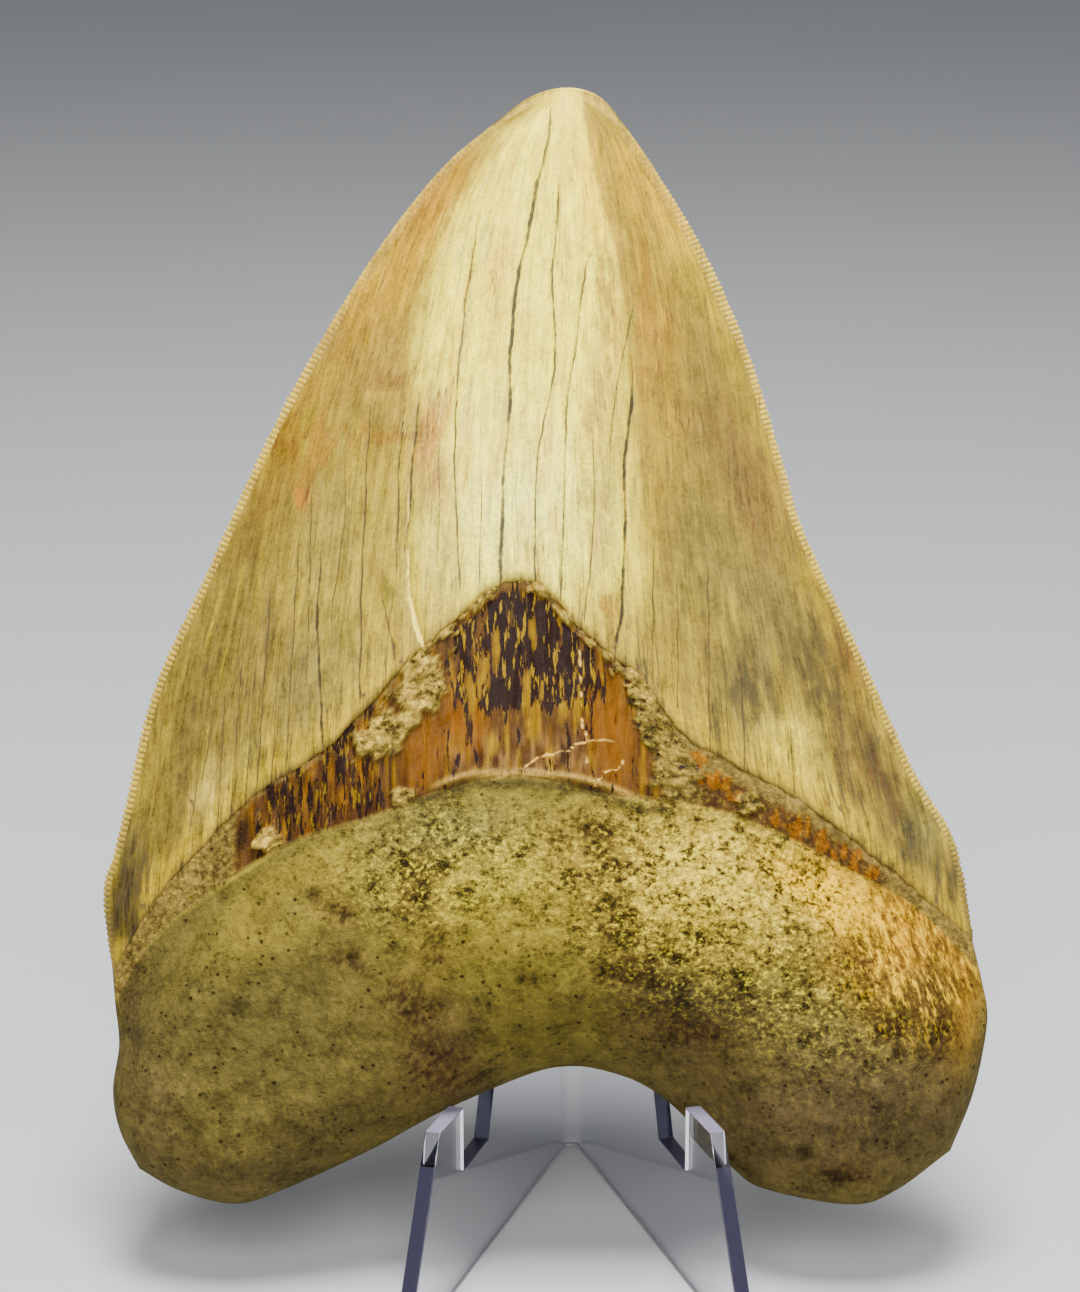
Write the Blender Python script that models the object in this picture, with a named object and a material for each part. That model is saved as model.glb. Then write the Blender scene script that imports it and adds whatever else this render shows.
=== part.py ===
"""A fossil megalodon tooth resting on a bent clear acrylic easel.

Lengths are in millimetres until the meshes are placed, and in metres after that.
The tooth is drawn in its own plane: u to the right, v up towards the tip, and w out
of its front. The plane leans back, and the tooth rests on the easel's two pegs in
front and its two posts behind.
"""
import bmesh
import bpy
import numpy as np
from mathutils import Vector, noise

MM = 0.001

# Placing of the tooth
LEAN = np.radians(19.0)        # how far the tooth leans back
REST = (0.0, -37.6, 9.7)       # where u, v and w are all zero

# Outline of the tooth, as real sizes read off by hand
BASE = [(-51.8, 3.7), (-47.0, 1.1), (-40.4, -0.5), (-34.7, 1.1), (-24.1, 5.9), (-15.1, 10.7),
        (-4.9, 15.0), (-0.1, 15.9), (3.5, 15.5), (8.3, 13.9), (12.8, 10.7), (19.7, 3.5),
        (23.8, 1.1), (33.6, -0.6), (39.0, 1.1), (45.6, 5.9)]
ROOT_LEFT = [(-51.8, 3.7), (-54.2, 8.3), (-55.1, 13.1), (-54.4, 18.5), (-54.9, 23.5)]
ROOT_RIGHT = [(45.6, 5.9), (48.5, 13.1), (50.2, 21.4), (49.4, 27.0)]
SEAM_LEFT = [(-54.9, 23.5), (-55.2, 27.0)]
SEAM_RIGHT = [(49.4, 27.0), (48.5, 30.8)]
CROWN_LEFT = [(-55.2, 27.0), (-56.2, 36.5), (-55.0, 41.3), (-53.6, 47.0), (-50.2, 61.2),
              (-43.7, 75.8), (-37.2, 90.4), (-30.9, 102.6), (-23.5, 114.8), (-15.8, 124.7),
              (-9.5, 130.2)]
CROWN_RIGHT = [(48.5, 30.8), (47.9, 35.0), (47.1, 39.5), (45.6, 44.3), (41.2, 51.6),
               (34.7, 66.1), (28.0, 80.6), (25.8, 88.0), (21.3, 102.6), (16.0, 114.8),
               (10.3, 124.7), (7.0, 129.6)]
TIP = [(-9.5, 130.2), (-4.9, 133.6), (-0.4, 134.75), (3.6, 133.6), (7.0, 129.6)]

# Lines across the front: where the enamel ends, and where the root begins
ENAMEL = [(-55.2, 27.0), (-49.5, 36.1), (-39.5, 46.8), (-28.5, 54.4), (-17.8, 65.5),
          (-9.6, 72.5), (-6.6, 73.8), (-3.1, 72.7), (2.2, 67.0), (7.8, 62.5), (14.3, 54.8),
          (27.1, 47.8), (38.9, 39.0), (48.5, 30.8)]
ROOT_TOP = [(-54.9, 23.5), (-51.0, 30.0), (-44.0, 36.4), (-34.2, 42.6), (-24.0, 45.9),
            (-10.7, 50.4), (-3.7, 50.6), (3.6, 48.8), (14.1, 47.5), (23.1, 44.7),
            (32.1, 40.2), (40.7, 35.5), (46.5, 30.3), (49.4, 27.0)]
# Lines across the back: its enamel comes lower and has no dark band
BACK_ENAMEL = [(-55.2, 27.0), (-40.0, 29.5), (-20.0, 33.0), (0.0, 34.0), (20.0, 33.5),
               (38.0, 31.5), (48.5, 30.8)]
BACK_ROOT = [(-54.9, 23.5), (-40.0, 26.0), (-20.0, 29.5), (0.0, 30.5), (20.0, 30.0),
             (38.0, 28.0), (49.4, 27.0)]

# Thickness
CROWN_FRONT = [(20, 13.4), (50, 12.8), (75, 10.6), (95, 8.0), (115, 4.9), (128, 2.7), (135, 1.3)]
CROWN_BACK = [(20, 4.75), (60, 4.6), (80, 4.1), (105, 3.0), (125, 1.6), (135, 0.6)]
ROOT_DEPTH = 10.0              # front of the root, away from its bulge
ROOT_BULGE = 6.6               # further out at the middle of the root
ROOT_BACK = 4.75
LOBE_BACK = 1.4                # the lobes reach further back than the arch
ROUNDING = 11.0                # how far in from its outline the root rounds over
PEG_ROUNDING = [((15.5, 8.0), 14.0), ((-14.0, 11.0), -5.5)]   # more or less of it over each peg
STEP = 0.5                     # the enamel's lower edge above the dark band
LIP = 0.8                      # the root's upper edge above the dark band

# Mesh of the tooth
COLUMNS = 38
ROOT_ROWS, BAND_ROWS, CROWN_ROWS = 14, 5, 32
PER_ROW = 5                    # serrations in each row of the crown
SERRATION = 0.16               # half their height

# Easel: depths forward of its spine, and heights
SHEET = 1.9
WING_ANGLE = np.radians(18.0)
FLAT = 0.35                    # half the flat strip at the spine
BEND = 1.5                     # radius of each bend, at the sheet's middle
BEND_CUTS = 6
WING = [(57.9, 0.0), (46.7, 22.5), (38.9, 22.3), (38.9, 14.2), (30.3, 14.4), (16.9, 53.4)]
SPINE_X = 0.4                  # spine of the easel, to the right of u = 0


def clear_scene():
    for item in list(bpy.data.objects):
        bpy.data.objects.remove(item, do_unlink=True)


def collection(name):
    made = bpy.data.collections.new(name)
    bpy.context.scene.collection.children.link(made)
    return made


def material(name, colour, roughness, clear=0.0, ior=1.5):
    made = bpy.data.materials.new(name)
    made.use_nodes = True
    shader = made.node_tree.nodes["Principled BSDF"]
    shader.inputs["Base Color"].default_value = (*colour, 1.0)
    shader.inputs["Roughness"].default_value = roughness
    shader.inputs["Transmission Weight"].default_value = clear
    shader.inputs["IOR"].default_value = ior
    return made


def smooth(points, steps=12):
    """A Catmull-Rom curve through the points, as many short steps."""
    p = np.array(points, float)
    if len(p) < 3:
        return p
    p = np.vstack([2 * p[0] - p[1], p, 2 * p[-1] - p[-2]])
    t = np.linspace(0, 1, steps, endpoint=False)[:, None]
    parts = [0.5 * (2 * b + (c - a) * t + (2 * a - 5 * b + 4 * c - d) * t**2
                    + (3 * b - a - 3 * c + d) * t**3)
             for a, b, c, d in zip(p, p[1:], p[2:], p[3:])]
    return np.vstack(parts + [p[-2:-1]])


def along(points, share):
    """Points at the given shares of a curve's length."""
    p = smooth(points)
    run = np.concatenate([[0], np.cumsum(np.hypot(*np.diff(p, axis=0).T))])
    return np.stack([np.interp(np.asarray(share) * run[-1], run, p[:, k]) for k in (0, 1)], -1)


def across(points, share):
    """Points at the given shares of a curve's width."""
    p = smooth(points)
    u = p[0, 0] + np.asarray(share) * (p[-1, 0] - p[0, 0])
    return np.stack([u, np.interp(u, p[:, 0], p[:, 1])], -1)


def height(points, u):
    p = smooth(points)
    return np.interp(u, p[:, 0], p[:, 1])


def ease(x):
    x = np.clip(x, 0, 1)
    return x * x * (3 - 2 * x)


def patch(low, high, left, right, s, t):
    """A grid between four curves that meet at their ends."""
    s, t = s[None, :, None], t[:, None, None]
    c0, c1, c2, c3 = low[None], high[None], left[:, None], right[:, None]
    corners = ((1 - s) * ((1 - t) * c0[:, :1] + t * c1[:, :1])
               + s * ((1 - t) * c0[:, -1:] + t * c1[:, -1:]))
    return (1 - t) * c0 + t * c1 + (1 - s) * c2 + s * c3 - corners


def grid(root_line, enamel_line):
    """Rows of points (u, v) from the base to the tip, and each row's own zone."""
    even = np.linspace(0, 1, COLUMNS + 1)
    s = 0.45 * even + 0.55 * (0.5 - 0.5 * np.cos(np.pi * even))
    zones = [(BASE, root_line, ROOT_LEFT, ROOT_RIGHT, np.linspace(0, 1, ROOT_ROWS + 1)**1.45),
             (root_line, enamel_line, SEAM_LEFT, SEAM_RIGHT, np.linspace(0, 1, BAND_ROWS + 1)),
             (enamel_line, TIP, CROWN_LEFT, CROWN_RIGHT, np.linspace(0, 1, CROWN_ROWS + 1))]
    rows = []
    for low, high, left, right, t in zones:
        made = patch(across(low, s), across(high, s), along(left, t), along(right, t), s, t)
        rows.append(made if not rows else made[1:])
    return np.vstack(rows)


def outline_distance(u, v):
    """Distance to the root's outline, and over its sides to the crown's edge."""
    loop = np.vstack([smooth(CROWN_LEFT[:4])[::-1], smooth(ROOT_LEFT)[::-1], smooth(BASE),
                      smooth(ROOT_RIGHT), smooth(CROWN_RIGHT[:5])])
    a, b = loop[:-1], loop[1:]
    keep = np.hypot(*(b - a).T) > 1e-6
    a, b = a[keep], b[keep]
    p = np.stack([u, v], -1)[..., None, :]
    d = b - a
    t = np.clip(((p - a) * d).sum(-1) / (d * d).sum(-1), 0, 1)[..., None]
    return np.sqrt((((p - a) - t * d)**2).sum(-1).min(-1))


def lumps(u, v, size, seed):
    """Smooth lumps between about -1 and 1."""
    flat = [noise.noise(Vector((a / size, b / size, seed)))
            for a, b in zip(u.ravel(), v.ravel())]
    return np.array(flat).reshape(u.shape)


def round_over(distance, reach):
    x = 1 - np.clip(distance / reach, 0, 1)
    return np.sqrt(1 - x * x)


def cross_position(u, v):
    """-1 at the left edge of the tooth and 1 at its right edge."""
    left = np.vstack([smooth(ROOT_LEFT), smooth(CROWN_LEFT), [(-0.4, 134.75)]])
    right = np.vstack([smooth(ROOT_RIGHT), smooth(CROWN_RIGHT), [(-0.4, 134.75)]])
    lo = np.interp(v, left[:, 1], left[:, 0])
    hi = np.interp(v, right[:, 1], right[:, 0])
    return np.clip((2 * u - lo - hi) / (hi - lo + 1e-6), -1, 1)


def near(u, v, at, spread):
    return np.exp(-((u - at[0]) / spread[0])**2 - ((v - at[1]) / spread[1])**2)


def tip_round(v):
    return round_over(134.75 - v, 7.0)


def front(u, v):
    """How far the front stands out at each point."""
    x = cross_position(u, v)
    crown = np.interp(v, *np.array(CROWN_FRONT).T) * (1 - np.abs(x)**1.85) * tip_round(v)
    below = height(ENAMEL, u) - v
    crown = crown - STEP * ease(below / 1.5) * (1 - x**6)
    band = ease(below / 2) * ease((v - height(ROOT_TOP, u)) / 2)
    crown = crown + 0.25 * band * lumps(u, v / 3, 3.0, 4.0)

    reach = ROUNDING + sum(more * near(u, v, at, (7, 9)) for at, more in PEG_ROUNDING)
    root = ROOT_DEPTH + ROOT_BULGE * near(u, v, (-2, 37), (27, 15))
    root = root + 0.8 * near(u, v, (-36, 24), (11, 12)) + 0.8 * near(u, v, (33, 22), (11, 12))
    root = root + 0.55 * lumps(u, v, 9.0, 1.0) + 0.3 * lumps(u, v, 4.5, 2.0)
    root = root * round_over(outline_distance(u, v), reach)
    under = height(ROOT_TOP, u) - v
    lip = LIP * ease(under / 1.2) * np.exp(-np.clip(under, 0, 99) / 7) * (1 - x**6)
    share = ease(under / 13.0)
    return crown * (1 - share) + root * share + lip


def back(u, v):
    """How far the back stands out at each point, as a negative number."""
    x = cross_position(u, v)
    crown = np.interp(v, *np.array(CROWN_BACK).T) * (1 - np.abs(x)**2.6) * tip_round(v)
    side = ease((np.abs(u) - 15) / 12)
    root = ROOT_BACK + side * (LOBE_BACK + 0.5 * lumps(u, v, 8.0, 7.0))
    root = root * round_over(outline_distance(u, v), 8.0)
    share = ease((height(BACK_ENAMEL, u) - v) / 10.0)
    return -(crown * (1 - share) + root * share)


def outward(points):
    """Unit steps to the left of a path's direction."""
    step = np.gradient(points, axis=0)
    step /= np.hypot(*step.T)[:, None]
    return np.stack([-step[:, 1], step[:, 0]], -1)


def serrated_edge(curve, side):
    """The crown's edge in small teeth, worn away towards the tip."""
    count = CROWN_ROWS * PER_ROW * 2
    share = np.linspace(0, 1, count + 1)
    points = along(curve, share)
    size = SERRATION * ease(share / 0.02) * (1 - 0.8 * ease((share - 0.85) / 0.15))
    sign = np.where(np.arange(count + 1) % 2 == 0, -1.0, 1.0)
    return points + side * outward(points) * (size * sign)[:, None]


def tooth_mesh():
    """Front and back grids that share one outline."""
    front_grid, back_grid = grid(ROOT_TOP, ENAMEL), grid(BACK_ROOT, BACK_ENAMEL)
    rows, columns = front_grid.shape[:2]
    first = ROOT_ROWS + BAND_ROWS
    edges = [serrated_edge(CROWN_LEFT, 1), serrated_edge(CROWN_RIGHT, -1)]
    for made in (front_grid, back_grid):
        for column, edge in ((0, edges[0]), (-1, edges[1])):
            made[first:, column] = edge[::2 * PER_ROW]

    points = [np.dstack([front_grid, front(*np.moveaxis(front_grid, -1, 0))]).reshape(-1, 3)]
    total = rows * columns
    front_id = np.arange(total).reshape(rows, columns)
    rim = np.zeros((rows, columns), bool)
    rim[[0, -1]] = True
    rim[:, [0, -1]] = True
    points[0][rim.ravel(), 2] = 0.0
    back_id = front_id.copy()
    inside = back_grid[~rim]
    back_id[~rim] = total + np.arange(len(inside))
    points.append(np.column_stack([inside, back(*inside.T)]))
    total += len(inside)

    fine = []
    for edge in edges:
        ids = np.arange(len(edge)) + total
        points.append(np.column_stack([edge, np.zeros(len(edge))]))
        total += len(edge)
        fine.append(ids)

    faces = []
    for ids, flip in ((front_id, False), (back_id, True)):
        for i in range(rows - 1):
            for j in range(columns - 1):
                a, b, c, d = ids[i, j], ids[i, j + 1], ids[i + 1, j + 1], ids[i + 1, j]
                if i >= first and j in (0, columns - 2):
                    left = j == 0
                    k = (i - first) * 2 * PER_ROW
                    run = list((fine[0] if left else fine[1])[k:k + 2 * PER_ROW + 1])
                    run[0], run[-1] = (a, d) if left else (b, c)
                    low, high = (b, c) if left else (a, d)
                    made = [(run[n + 1], run[n], low) for n in range(PER_ROW)]
                    made += [(run[n + 1], run[n], high) for n in range(PER_ROW, 2 * PER_ROW)]
                    made.append((run[PER_ROW], low, high))
                    if not left:
                        made = [tuple(reversed(f)) for f in made]
                else:
                    made = [(a, b, c), (a, c, d)]
                faces += [tuple(reversed(f)) for f in made] if flip else made

    mesh = bpy.data.meshes.new("tooth")
    mesh.from_pydata((placed(np.vstack(points)) * MM).tolist(), [],
                     [tuple(int(n) for n in f) for f in faces])
    work = bmesh.new()
    work.from_mesh(mesh)
    bmesh.ops.delete(work, geom=[v for v in work.verts if not v.link_faces], context="VERTS")
    bmesh.ops.recalc_face_normals(work, faces=work.faces)
    work.to_mesh(mesh)
    work.free()
    return mesh


def placed(points):
    """From the tooth's plane to the upright frame, leaning back."""
    u, v, w = points.T
    return np.stack([REST[0] + u,
                     REST[1] + v * np.sin(LEAN) - w * np.cos(LEAN),
                     REST[2] + v * np.cos(LEAN) + w * np.sin(LEAN)], -1)


def sheet_length(depth):
    """Distance along the sheet from the spine to a given depth."""
    turn = np.pi / 2 - WING_ANGLE
    return FLAT + BEND * turn + (depth - BEND * (1 - np.cos(turn))) / np.cos(WING_ANGLE)


def bent(length, out):
    """Where a point of the flat sheet goes when the sheet is bent, seen from above."""
    turn = np.pi / 2 - WING_ANGLE
    side = -1.0 if length < 0 else 1.0
    angle = min(max((abs(length) - FLAT) / BEND, 0.0), turn)
    straight = max(abs(length) - FLAT - BEND * turn, 0.0)
    x = min(abs(length), FLAT) + BEND * np.sin(angle) + straight * np.cos(turn)
    y = -BEND * (1 - np.cos(angle)) - straight * np.sin(turn)
    return SPINE_X + side * (x + out * np.sin(angle)), y + out * np.cos(angle)


def stand_mesh():
    """One flat outline, given the sheet's thickness and bent at the spine."""
    wing = [(sheet_length(depth), z) for depth, z in WING]
    outline = wing + [(-a, z) for a, z in reversed(wing)]
    curve = bpy.data.curves.new("sheet", "CURVE")
    curve.dimensions = "2D"
    curve.fill_mode = "BOTH"
    curve.extrude = SHEET / 2 * MM
    line = curve.splines.new("POLY")
    line.points.add(len(outline) - 1)
    for point, (a, z) in zip(line.points, outline):
        point.co = (a * MM, z * MM, 0, 1)
    line.use_cyclic_u = True
    holder = bpy.data.objects.new("sheet", curve)
    bpy.context.scene.collection.objects.link(holder)
    bpy.context.view_layer.update()
    mesh = bpy.data.meshes.new_from_object(holder.evaluated_get(bpy.context.evaluated_depsgraph_get()))
    bpy.data.objects.remove(holder, do_unlink=True)

    work = bmesh.new()
    work.from_mesh(mesh)
    bmesh.ops.remove_doubles(work, verts=work.verts, dist=0.00001)
    turn = np.pi / 2 - WING_ANGLE
    for step in range(BEND_CUTS + 1):
        at = (FLAT + BEND * turn * step / BEND_CUTS) * MM
        for x in (at, -at):
            bmesh.ops.bisect_plane(work, geom=work.verts[:] + work.edges[:] + work.faces[:],
                                   plane_co=(x, 0, 0), plane_no=(1, 0, 0), dist=1e-7)
    for vertex in work.verts:
        a, z, out = vertex.co
        x, y = bent(a / MM, out / MM)
        vertex.co = (x * MM, y * MM, z)
    bmesh.ops.triangulate(work, faces=work.faces)
    bmesh.ops.recalc_face_normals(work, faces=work.faces)
    work.to_mesh(mesh)
    work.free()
    mesh.name = "stand"
    return mesh


def centre(meshes):
    """Stand the pair on z = 0, with its box centred on the origin."""
    spots = np.vstack([[tuple(v.co) for v in mesh.vertices] for mesh in meshes])
    low, high = spots.min(0), spots.max(0)
    shift = Vector((-(low[0] + high[0]) / 2, -(low[1] + high[1]) / 2, -low[2]))
    for mesh in meshes:
        for vertex in mesh.vertices:
            vertex.co += shift
    print("moved by", [round(x / MM, 3) for x in shift])
    print("box in mm", ((high - low) / MM).round(2).tolist())


def main():
    clear_scene()
    parts = collection("megalodon tooth on easel")
    tooth, stand = tooth_mesh(), stand_mesh()
    centre([tooth, stand])
    looks = {"tooth": material("tooth", (0.50, 0.40, 0.22), 0.45),
             "stand": material("stand", (0.93, 0.93, 0.96), 0.05, 1.0, 1.49)}
    for name, mesh in (("tooth", tooth), ("stand", stand)):
        mesh.materials.clear()
        mesh.materials.append(looks[name])
        item = bpy.data.objects.new(name, mesh)
        parts.objects.link(item)
        print(name, "faces", len(mesh.polygons))


main()
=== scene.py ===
# %% [markdown]
# A megalodon tooth on its easel.
# The imported model gives the two solids, the tooth and the bent acrylic sheet, in one frame.
# Here each is dressed: the tooth gets its enamel, dark band, root, cracks and serrations,
# and the sheet becomes clear acrylic, with a painted matt shade on its laser-cut edges.

# %% Load the frame
import bmesh
import bpy
import numpy as np
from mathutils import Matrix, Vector


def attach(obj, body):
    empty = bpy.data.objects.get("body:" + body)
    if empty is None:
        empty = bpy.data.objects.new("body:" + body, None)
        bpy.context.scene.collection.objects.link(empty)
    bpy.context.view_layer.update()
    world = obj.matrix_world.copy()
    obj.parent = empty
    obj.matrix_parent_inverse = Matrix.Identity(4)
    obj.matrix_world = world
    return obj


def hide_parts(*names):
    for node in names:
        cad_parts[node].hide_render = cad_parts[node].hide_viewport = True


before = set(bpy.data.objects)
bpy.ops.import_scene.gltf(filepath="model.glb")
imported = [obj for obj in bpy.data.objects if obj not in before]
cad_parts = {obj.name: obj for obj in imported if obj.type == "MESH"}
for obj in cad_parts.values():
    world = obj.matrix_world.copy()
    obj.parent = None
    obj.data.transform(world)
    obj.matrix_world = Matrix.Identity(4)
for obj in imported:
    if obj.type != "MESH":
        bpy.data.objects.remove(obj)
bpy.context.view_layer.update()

# %% [markdown]
# Curves through a few points.
# The outline of a tooth is a free curve, so it is kept as a few real points in millimetres.
# A Catmull-Rom curve passes through every point, which makes each point easy to place.

# %% Curves, easing and blobs
MM = 0.001


def smooth(points, steps=12):
    """A Catmull-Rom curve: between two points, a cubic whose slope at each end is half
    the step from the point before to the point after."""
    p = np.array(points, float)
    if len(p) < 3:
        return p
    p = np.vstack([2 * p[0] - p[1], p, 2 * p[-1] - p[-2]])
    t = np.linspace(0, 1, steps, endpoint=False)[:, None]
    parts = [0.5 * (2 * b + (c - a) * t + (2 * a - 5 * b + 4 * c - d) * t**2
                    + (3 * b - a - 3 * c + d) * t**3)
             for a, b, c, d in zip(p, p[1:], p[2:], p[3:])]
    return np.vstack(parts + [p[-2:-1]])


def along(points, share):
    """Points at the given shares of a curve's length."""
    p = smooth(points)
    run = np.concatenate([[0], np.cumsum(np.hypot(*np.diff(p, axis=0).T))])
    return np.stack([np.interp(np.asarray(share) * run[-1], run, p[:, k]) for k in (0, 1)], -1)


def across(points, share):
    """Points at the given shares of a curve's width."""
    p = smooth(points)
    u = p[0, 0] + np.asarray(share) * (p[-1, 0] - p[0, 0])
    return np.stack([u, np.interp(u, p[:, 0], p[:, 1])], -1)


def height(points, u):
    """How high a curve that runs across the tooth is at each u."""
    p = smooth(points)
    return np.interp(u, p[:, 0], p[:, 1])


def sideways(points, v):
    """Where a curve that runs up the tooth is at each height."""
    p = np.array(points, float)
    order = np.argsort(p[:, 1])
    return np.interp(v, p[order, 1], p[order, 0])


def ease(x):
    """0 below 0, 1 above 1, and a smooth step between: x squared times (3 - 2x)."""
    x = np.clip(x, 0, 1)
    return x * x * (3 - 2 * x)


def blob(u, v, at, spread, turn=0.0, power=2.0):
    """1 at a point, falling off as exp(-r^power), with r measured in turned, stretched
    steps."""
    c, s = np.cos(np.radians(turn)), np.sin(np.radians(turn))
    a, b = u - at[0], v - at[1]
    r = np.hypot((a * c + b * s) / spread[0], (b * c - a * s) / spread[1])
    return np.exp(-r**power)


def blobs(u, v, rows, power):
    """Blobs added up, one for each row (at, spread, turn) of a table."""
    return sum(blob(u, v, *row, power) for row in rows)


def span(x, low, high, soft, soft_high=None):
    """1 between low and high, easing in over soft and out over soft_high."""
    return ease((x - low) / soft) * ease((high - x) / (soft_high or soft))


def falloff(distance, width):
    """1 on a line, and exp(-(distance / width)^2) beside it."""
    return np.exp(-(distance / width)**2)


def from_segment(u, v, a, b):
    """The step to each point from the nearest place on the straight line from a to b."""
    d = b - a
    t = np.clip(((u - a[0]) * d[0] + (v - a[1]) * d[1]) / max((d * d).sum(), 1e-12), 0, 1)
    return u - a[0] - t * d[0], v - a[1] - t * d[1]


def round_over(distance, reach):
    """The height of a quarter circle: sqrt(1 - (1 - distance / reach)^2)."""
    x = 1 - np.clip(distance / reach, 0, 1)
    return np.sqrt(1 - x * x)


# %% [markdown]
# Natural roughness.
# Bone and worn enamel are never even. Gradient noise gives each square of a lattice a slope
# in a direction of its own and blends the slopes, and several sizes added make a rough surface.
# A second kind counts the distance to the nearest of scattered points, which makes pits.

# %% Noise worked out with whole arrays
def scatter(a, b, seed):
    """A whole number from each pair of whole numbers, well mixed, as a share of 1."""
    h = (a * 374761393 + b * 668265263 + seed * 974634777) & 0xFFFFFFFF
    h = ((h ^ (h >> 13)) * 1274126177) & 0xFFFFFFFF
    return (h ^ (h >> 16)) / 4294967296.0


def noise(a, b, seed=0):
    """Gradient noise: at each lattice corner a slope in a random direction, blended with
    the fade 6t^5 - 15t^4 + 10t^3. About -1 to 1."""
    ia, ib = np.floor(a).astype(np.int64), np.floor(b).astype(np.int64)
    fa, fb = a - ia, b - ib

    def corner(i, j):
        turn = scatter(ia + i, ib + j, seed) * 2 * np.pi
        return np.cos(turn) * (fa - i) + np.sin(turn) * (fb - j)

    wa, wb = (f**3 * (f * (6 * f - 15) + 10) for f in (fa, fb))
    low = corner(0, 0) * (1 - wa) + corner(1, 0) * wa
    high = corner(0, 1) * (1 - wa) + corner(1, 1) * wa
    return 1.5 * (low * (1 - wb) + high * wb)


def rough(a, b, seed=0, sizes=4, fall=0.5):
    """Noise at several sizes, each half the size of the last and fall times its height."""
    total = sum(fall**k * noise(a * 2**k, b * 2**k, seed + k) for k in range(sizes))
    return total / sum(fall**k for k in range(sizes))


def nearest(a, b, seed=0, keep=1.0):
    """Distance to the nearest of the points scattered one to a lattice square, of which
    only the share keep is there."""
    ia, ib = np.floor(a).astype(np.int64), np.floor(b).astype(np.int64)
    best = np.full(np.shape(a), 9.0)
    for i in (-1, 0, 1):
        for j in (-1, 0, 1):
            x, y = ia + i, ib + j
            d = np.hypot(x + scatter(x, y, seed) - a, y + scatter(x, y, seed + 1) - b)
            best = np.where(scatter(x, y, seed + 2) < keep, np.minimum(best, d), best)
    return best


# %% [markdown]
# The tooth's own plane.
# The tooth is drawn flat, with u to the right, v up towards the tip and w out of its front.
# The plane then leans back on the easel. The outline and the two lines across the front, where
# the enamel ends and where the root begins, are the same real sizes as in the solid.

# %% Outline of the tooth in millimetres
LEAN = np.radians(19.0)
REST = (3.079, -11.638, 9.7)  # where the plane's zero point stands

BASE = [(-51.8, 3.7), (-47.0, 1.1), (-40.4, -0.5), (-34.7, 1.1), (-24.1, 5.9), (-15.1, 10.7),
        (-4.9, 15.0), (-0.1, 15.9), (3.5, 15.5), (8.3, 13.9), (12.8, 10.7), (19.7, 3.5),
        (23.8, 1.1), (33.6, -0.6), (39.0, 1.1), (45.6, 5.9)]
ROOT_LEFT = [(-51.8, 3.7), (-54.2, 8.3), (-55.1, 13.1), (-54.4, 18.5), (-54.9, 23.5)]
ROOT_RIGHT = [(45.6, 5.9), (48.5, 13.1), (50.2, 21.4), (49.4, 27.0)]
SEAM_LEFT = [(-54.9, 23.5), (-55.2, 27.0)]
SEAM_RIGHT = [(49.4, 27.0), (48.5, 30.8)]
CROWN_LEFT = [(-55.2, 27.0), (-56.2, 36.5), (-55.0, 41.3), (-53.6, 47.0), (-50.2, 61.2),
              (-43.7, 75.8), (-37.2, 90.4), (-30.9, 102.6), (-23.5, 114.8), (-15.8, 124.7),
              (-9.5, 130.2)]
CROWN_RIGHT = [(48.5, 30.8), (47.9, 35.0), (47.1, 39.5), (45.6, 44.3), (41.2, 51.6),
               (34.7, 66.1), (28.0, 80.6), (25.8, 88.0), (21.3, 102.6), (16.0, 114.8),
               (10.3, 124.7), (7.0, 129.6)]
TIP = [(-9.5, 130.2), (-4.9, 133.6), (-0.4, 134.75), (3.6, 133.6), (7.0, 129.6)]

ENAMEL = [(-55.2, 27.0), (-49.5, 36.1), (-39.5, 46.8), (-28.5, 54.4), (-17.8, 65.5),
          (-9.6, 72.5), (-6.6, 73.8), (-3.1, 72.7), (2.2, 67.0), (7.8, 62.5), (14.3, 54.8),
          (27.1, 47.8), (38.9, 39.0), (48.5, 30.8)]
ROOT_TOP = [(-54.9, 23.5), (-51.0, 30.0), (-44.0, 36.4), (-34.2, 42.6), (-24.0, 45.9),
            (-10.7, 50.4), (-3.7, 50.6), (3.6, 48.8), (14.1, 47.5), (23.1, 44.7),
            (32.1, 40.2), (40.7, 35.5), (46.5, 30.3), (49.4, 27.0)]
BACK_ENAMEL = [(-55.2, 27.0), (-40.0, 29.5), (-20.0, 33.0), (0.0, 34.0), (20.0, 33.5),
               (38.0, 31.5), (48.5, 30.8)]
BACK_ROOT = [(-54.9, 23.5), (-40.0, 26.0), (-20.0, 29.5), (0.0, 30.5), (20.0, 30.0),
             (38.0, 28.0), (49.4, 27.0)]
print("outline from", len(BASE) + len(ROOT_LEFT) + len(ROOT_RIGHT) + len(CROWN_LEFT)
      + len(CROWN_RIGHT) + len(TIP), "points")

# %% [markdown]
# Thickness of the tooth.
# The crown's front swells like a lens and its back is nearly flat. The root rounds over from
# its outline like a pebble, and bulges in the middle. These are the same forms as in the
# solid, so the dressed tooth stays inside the solid's size.

# %% Front and back forms
CROWN_FRONT = [(20, 13.4), (50, 12.8), (75, 10.6), (95, 8.0), (115, 4.9), (128, 2.7), (135, 1.3)]
CROWN_BACK = [(20, 4.75), (60, 4.6), (80, 4.1), (105, 3.0), (125, 1.6), (135, 0.6)]
TIP_V = 134.75  # height of the tip
STEP = 0.5      # how far the band lies below the enamel
LIP = 0.8       # how far the root stands out at its top


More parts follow.
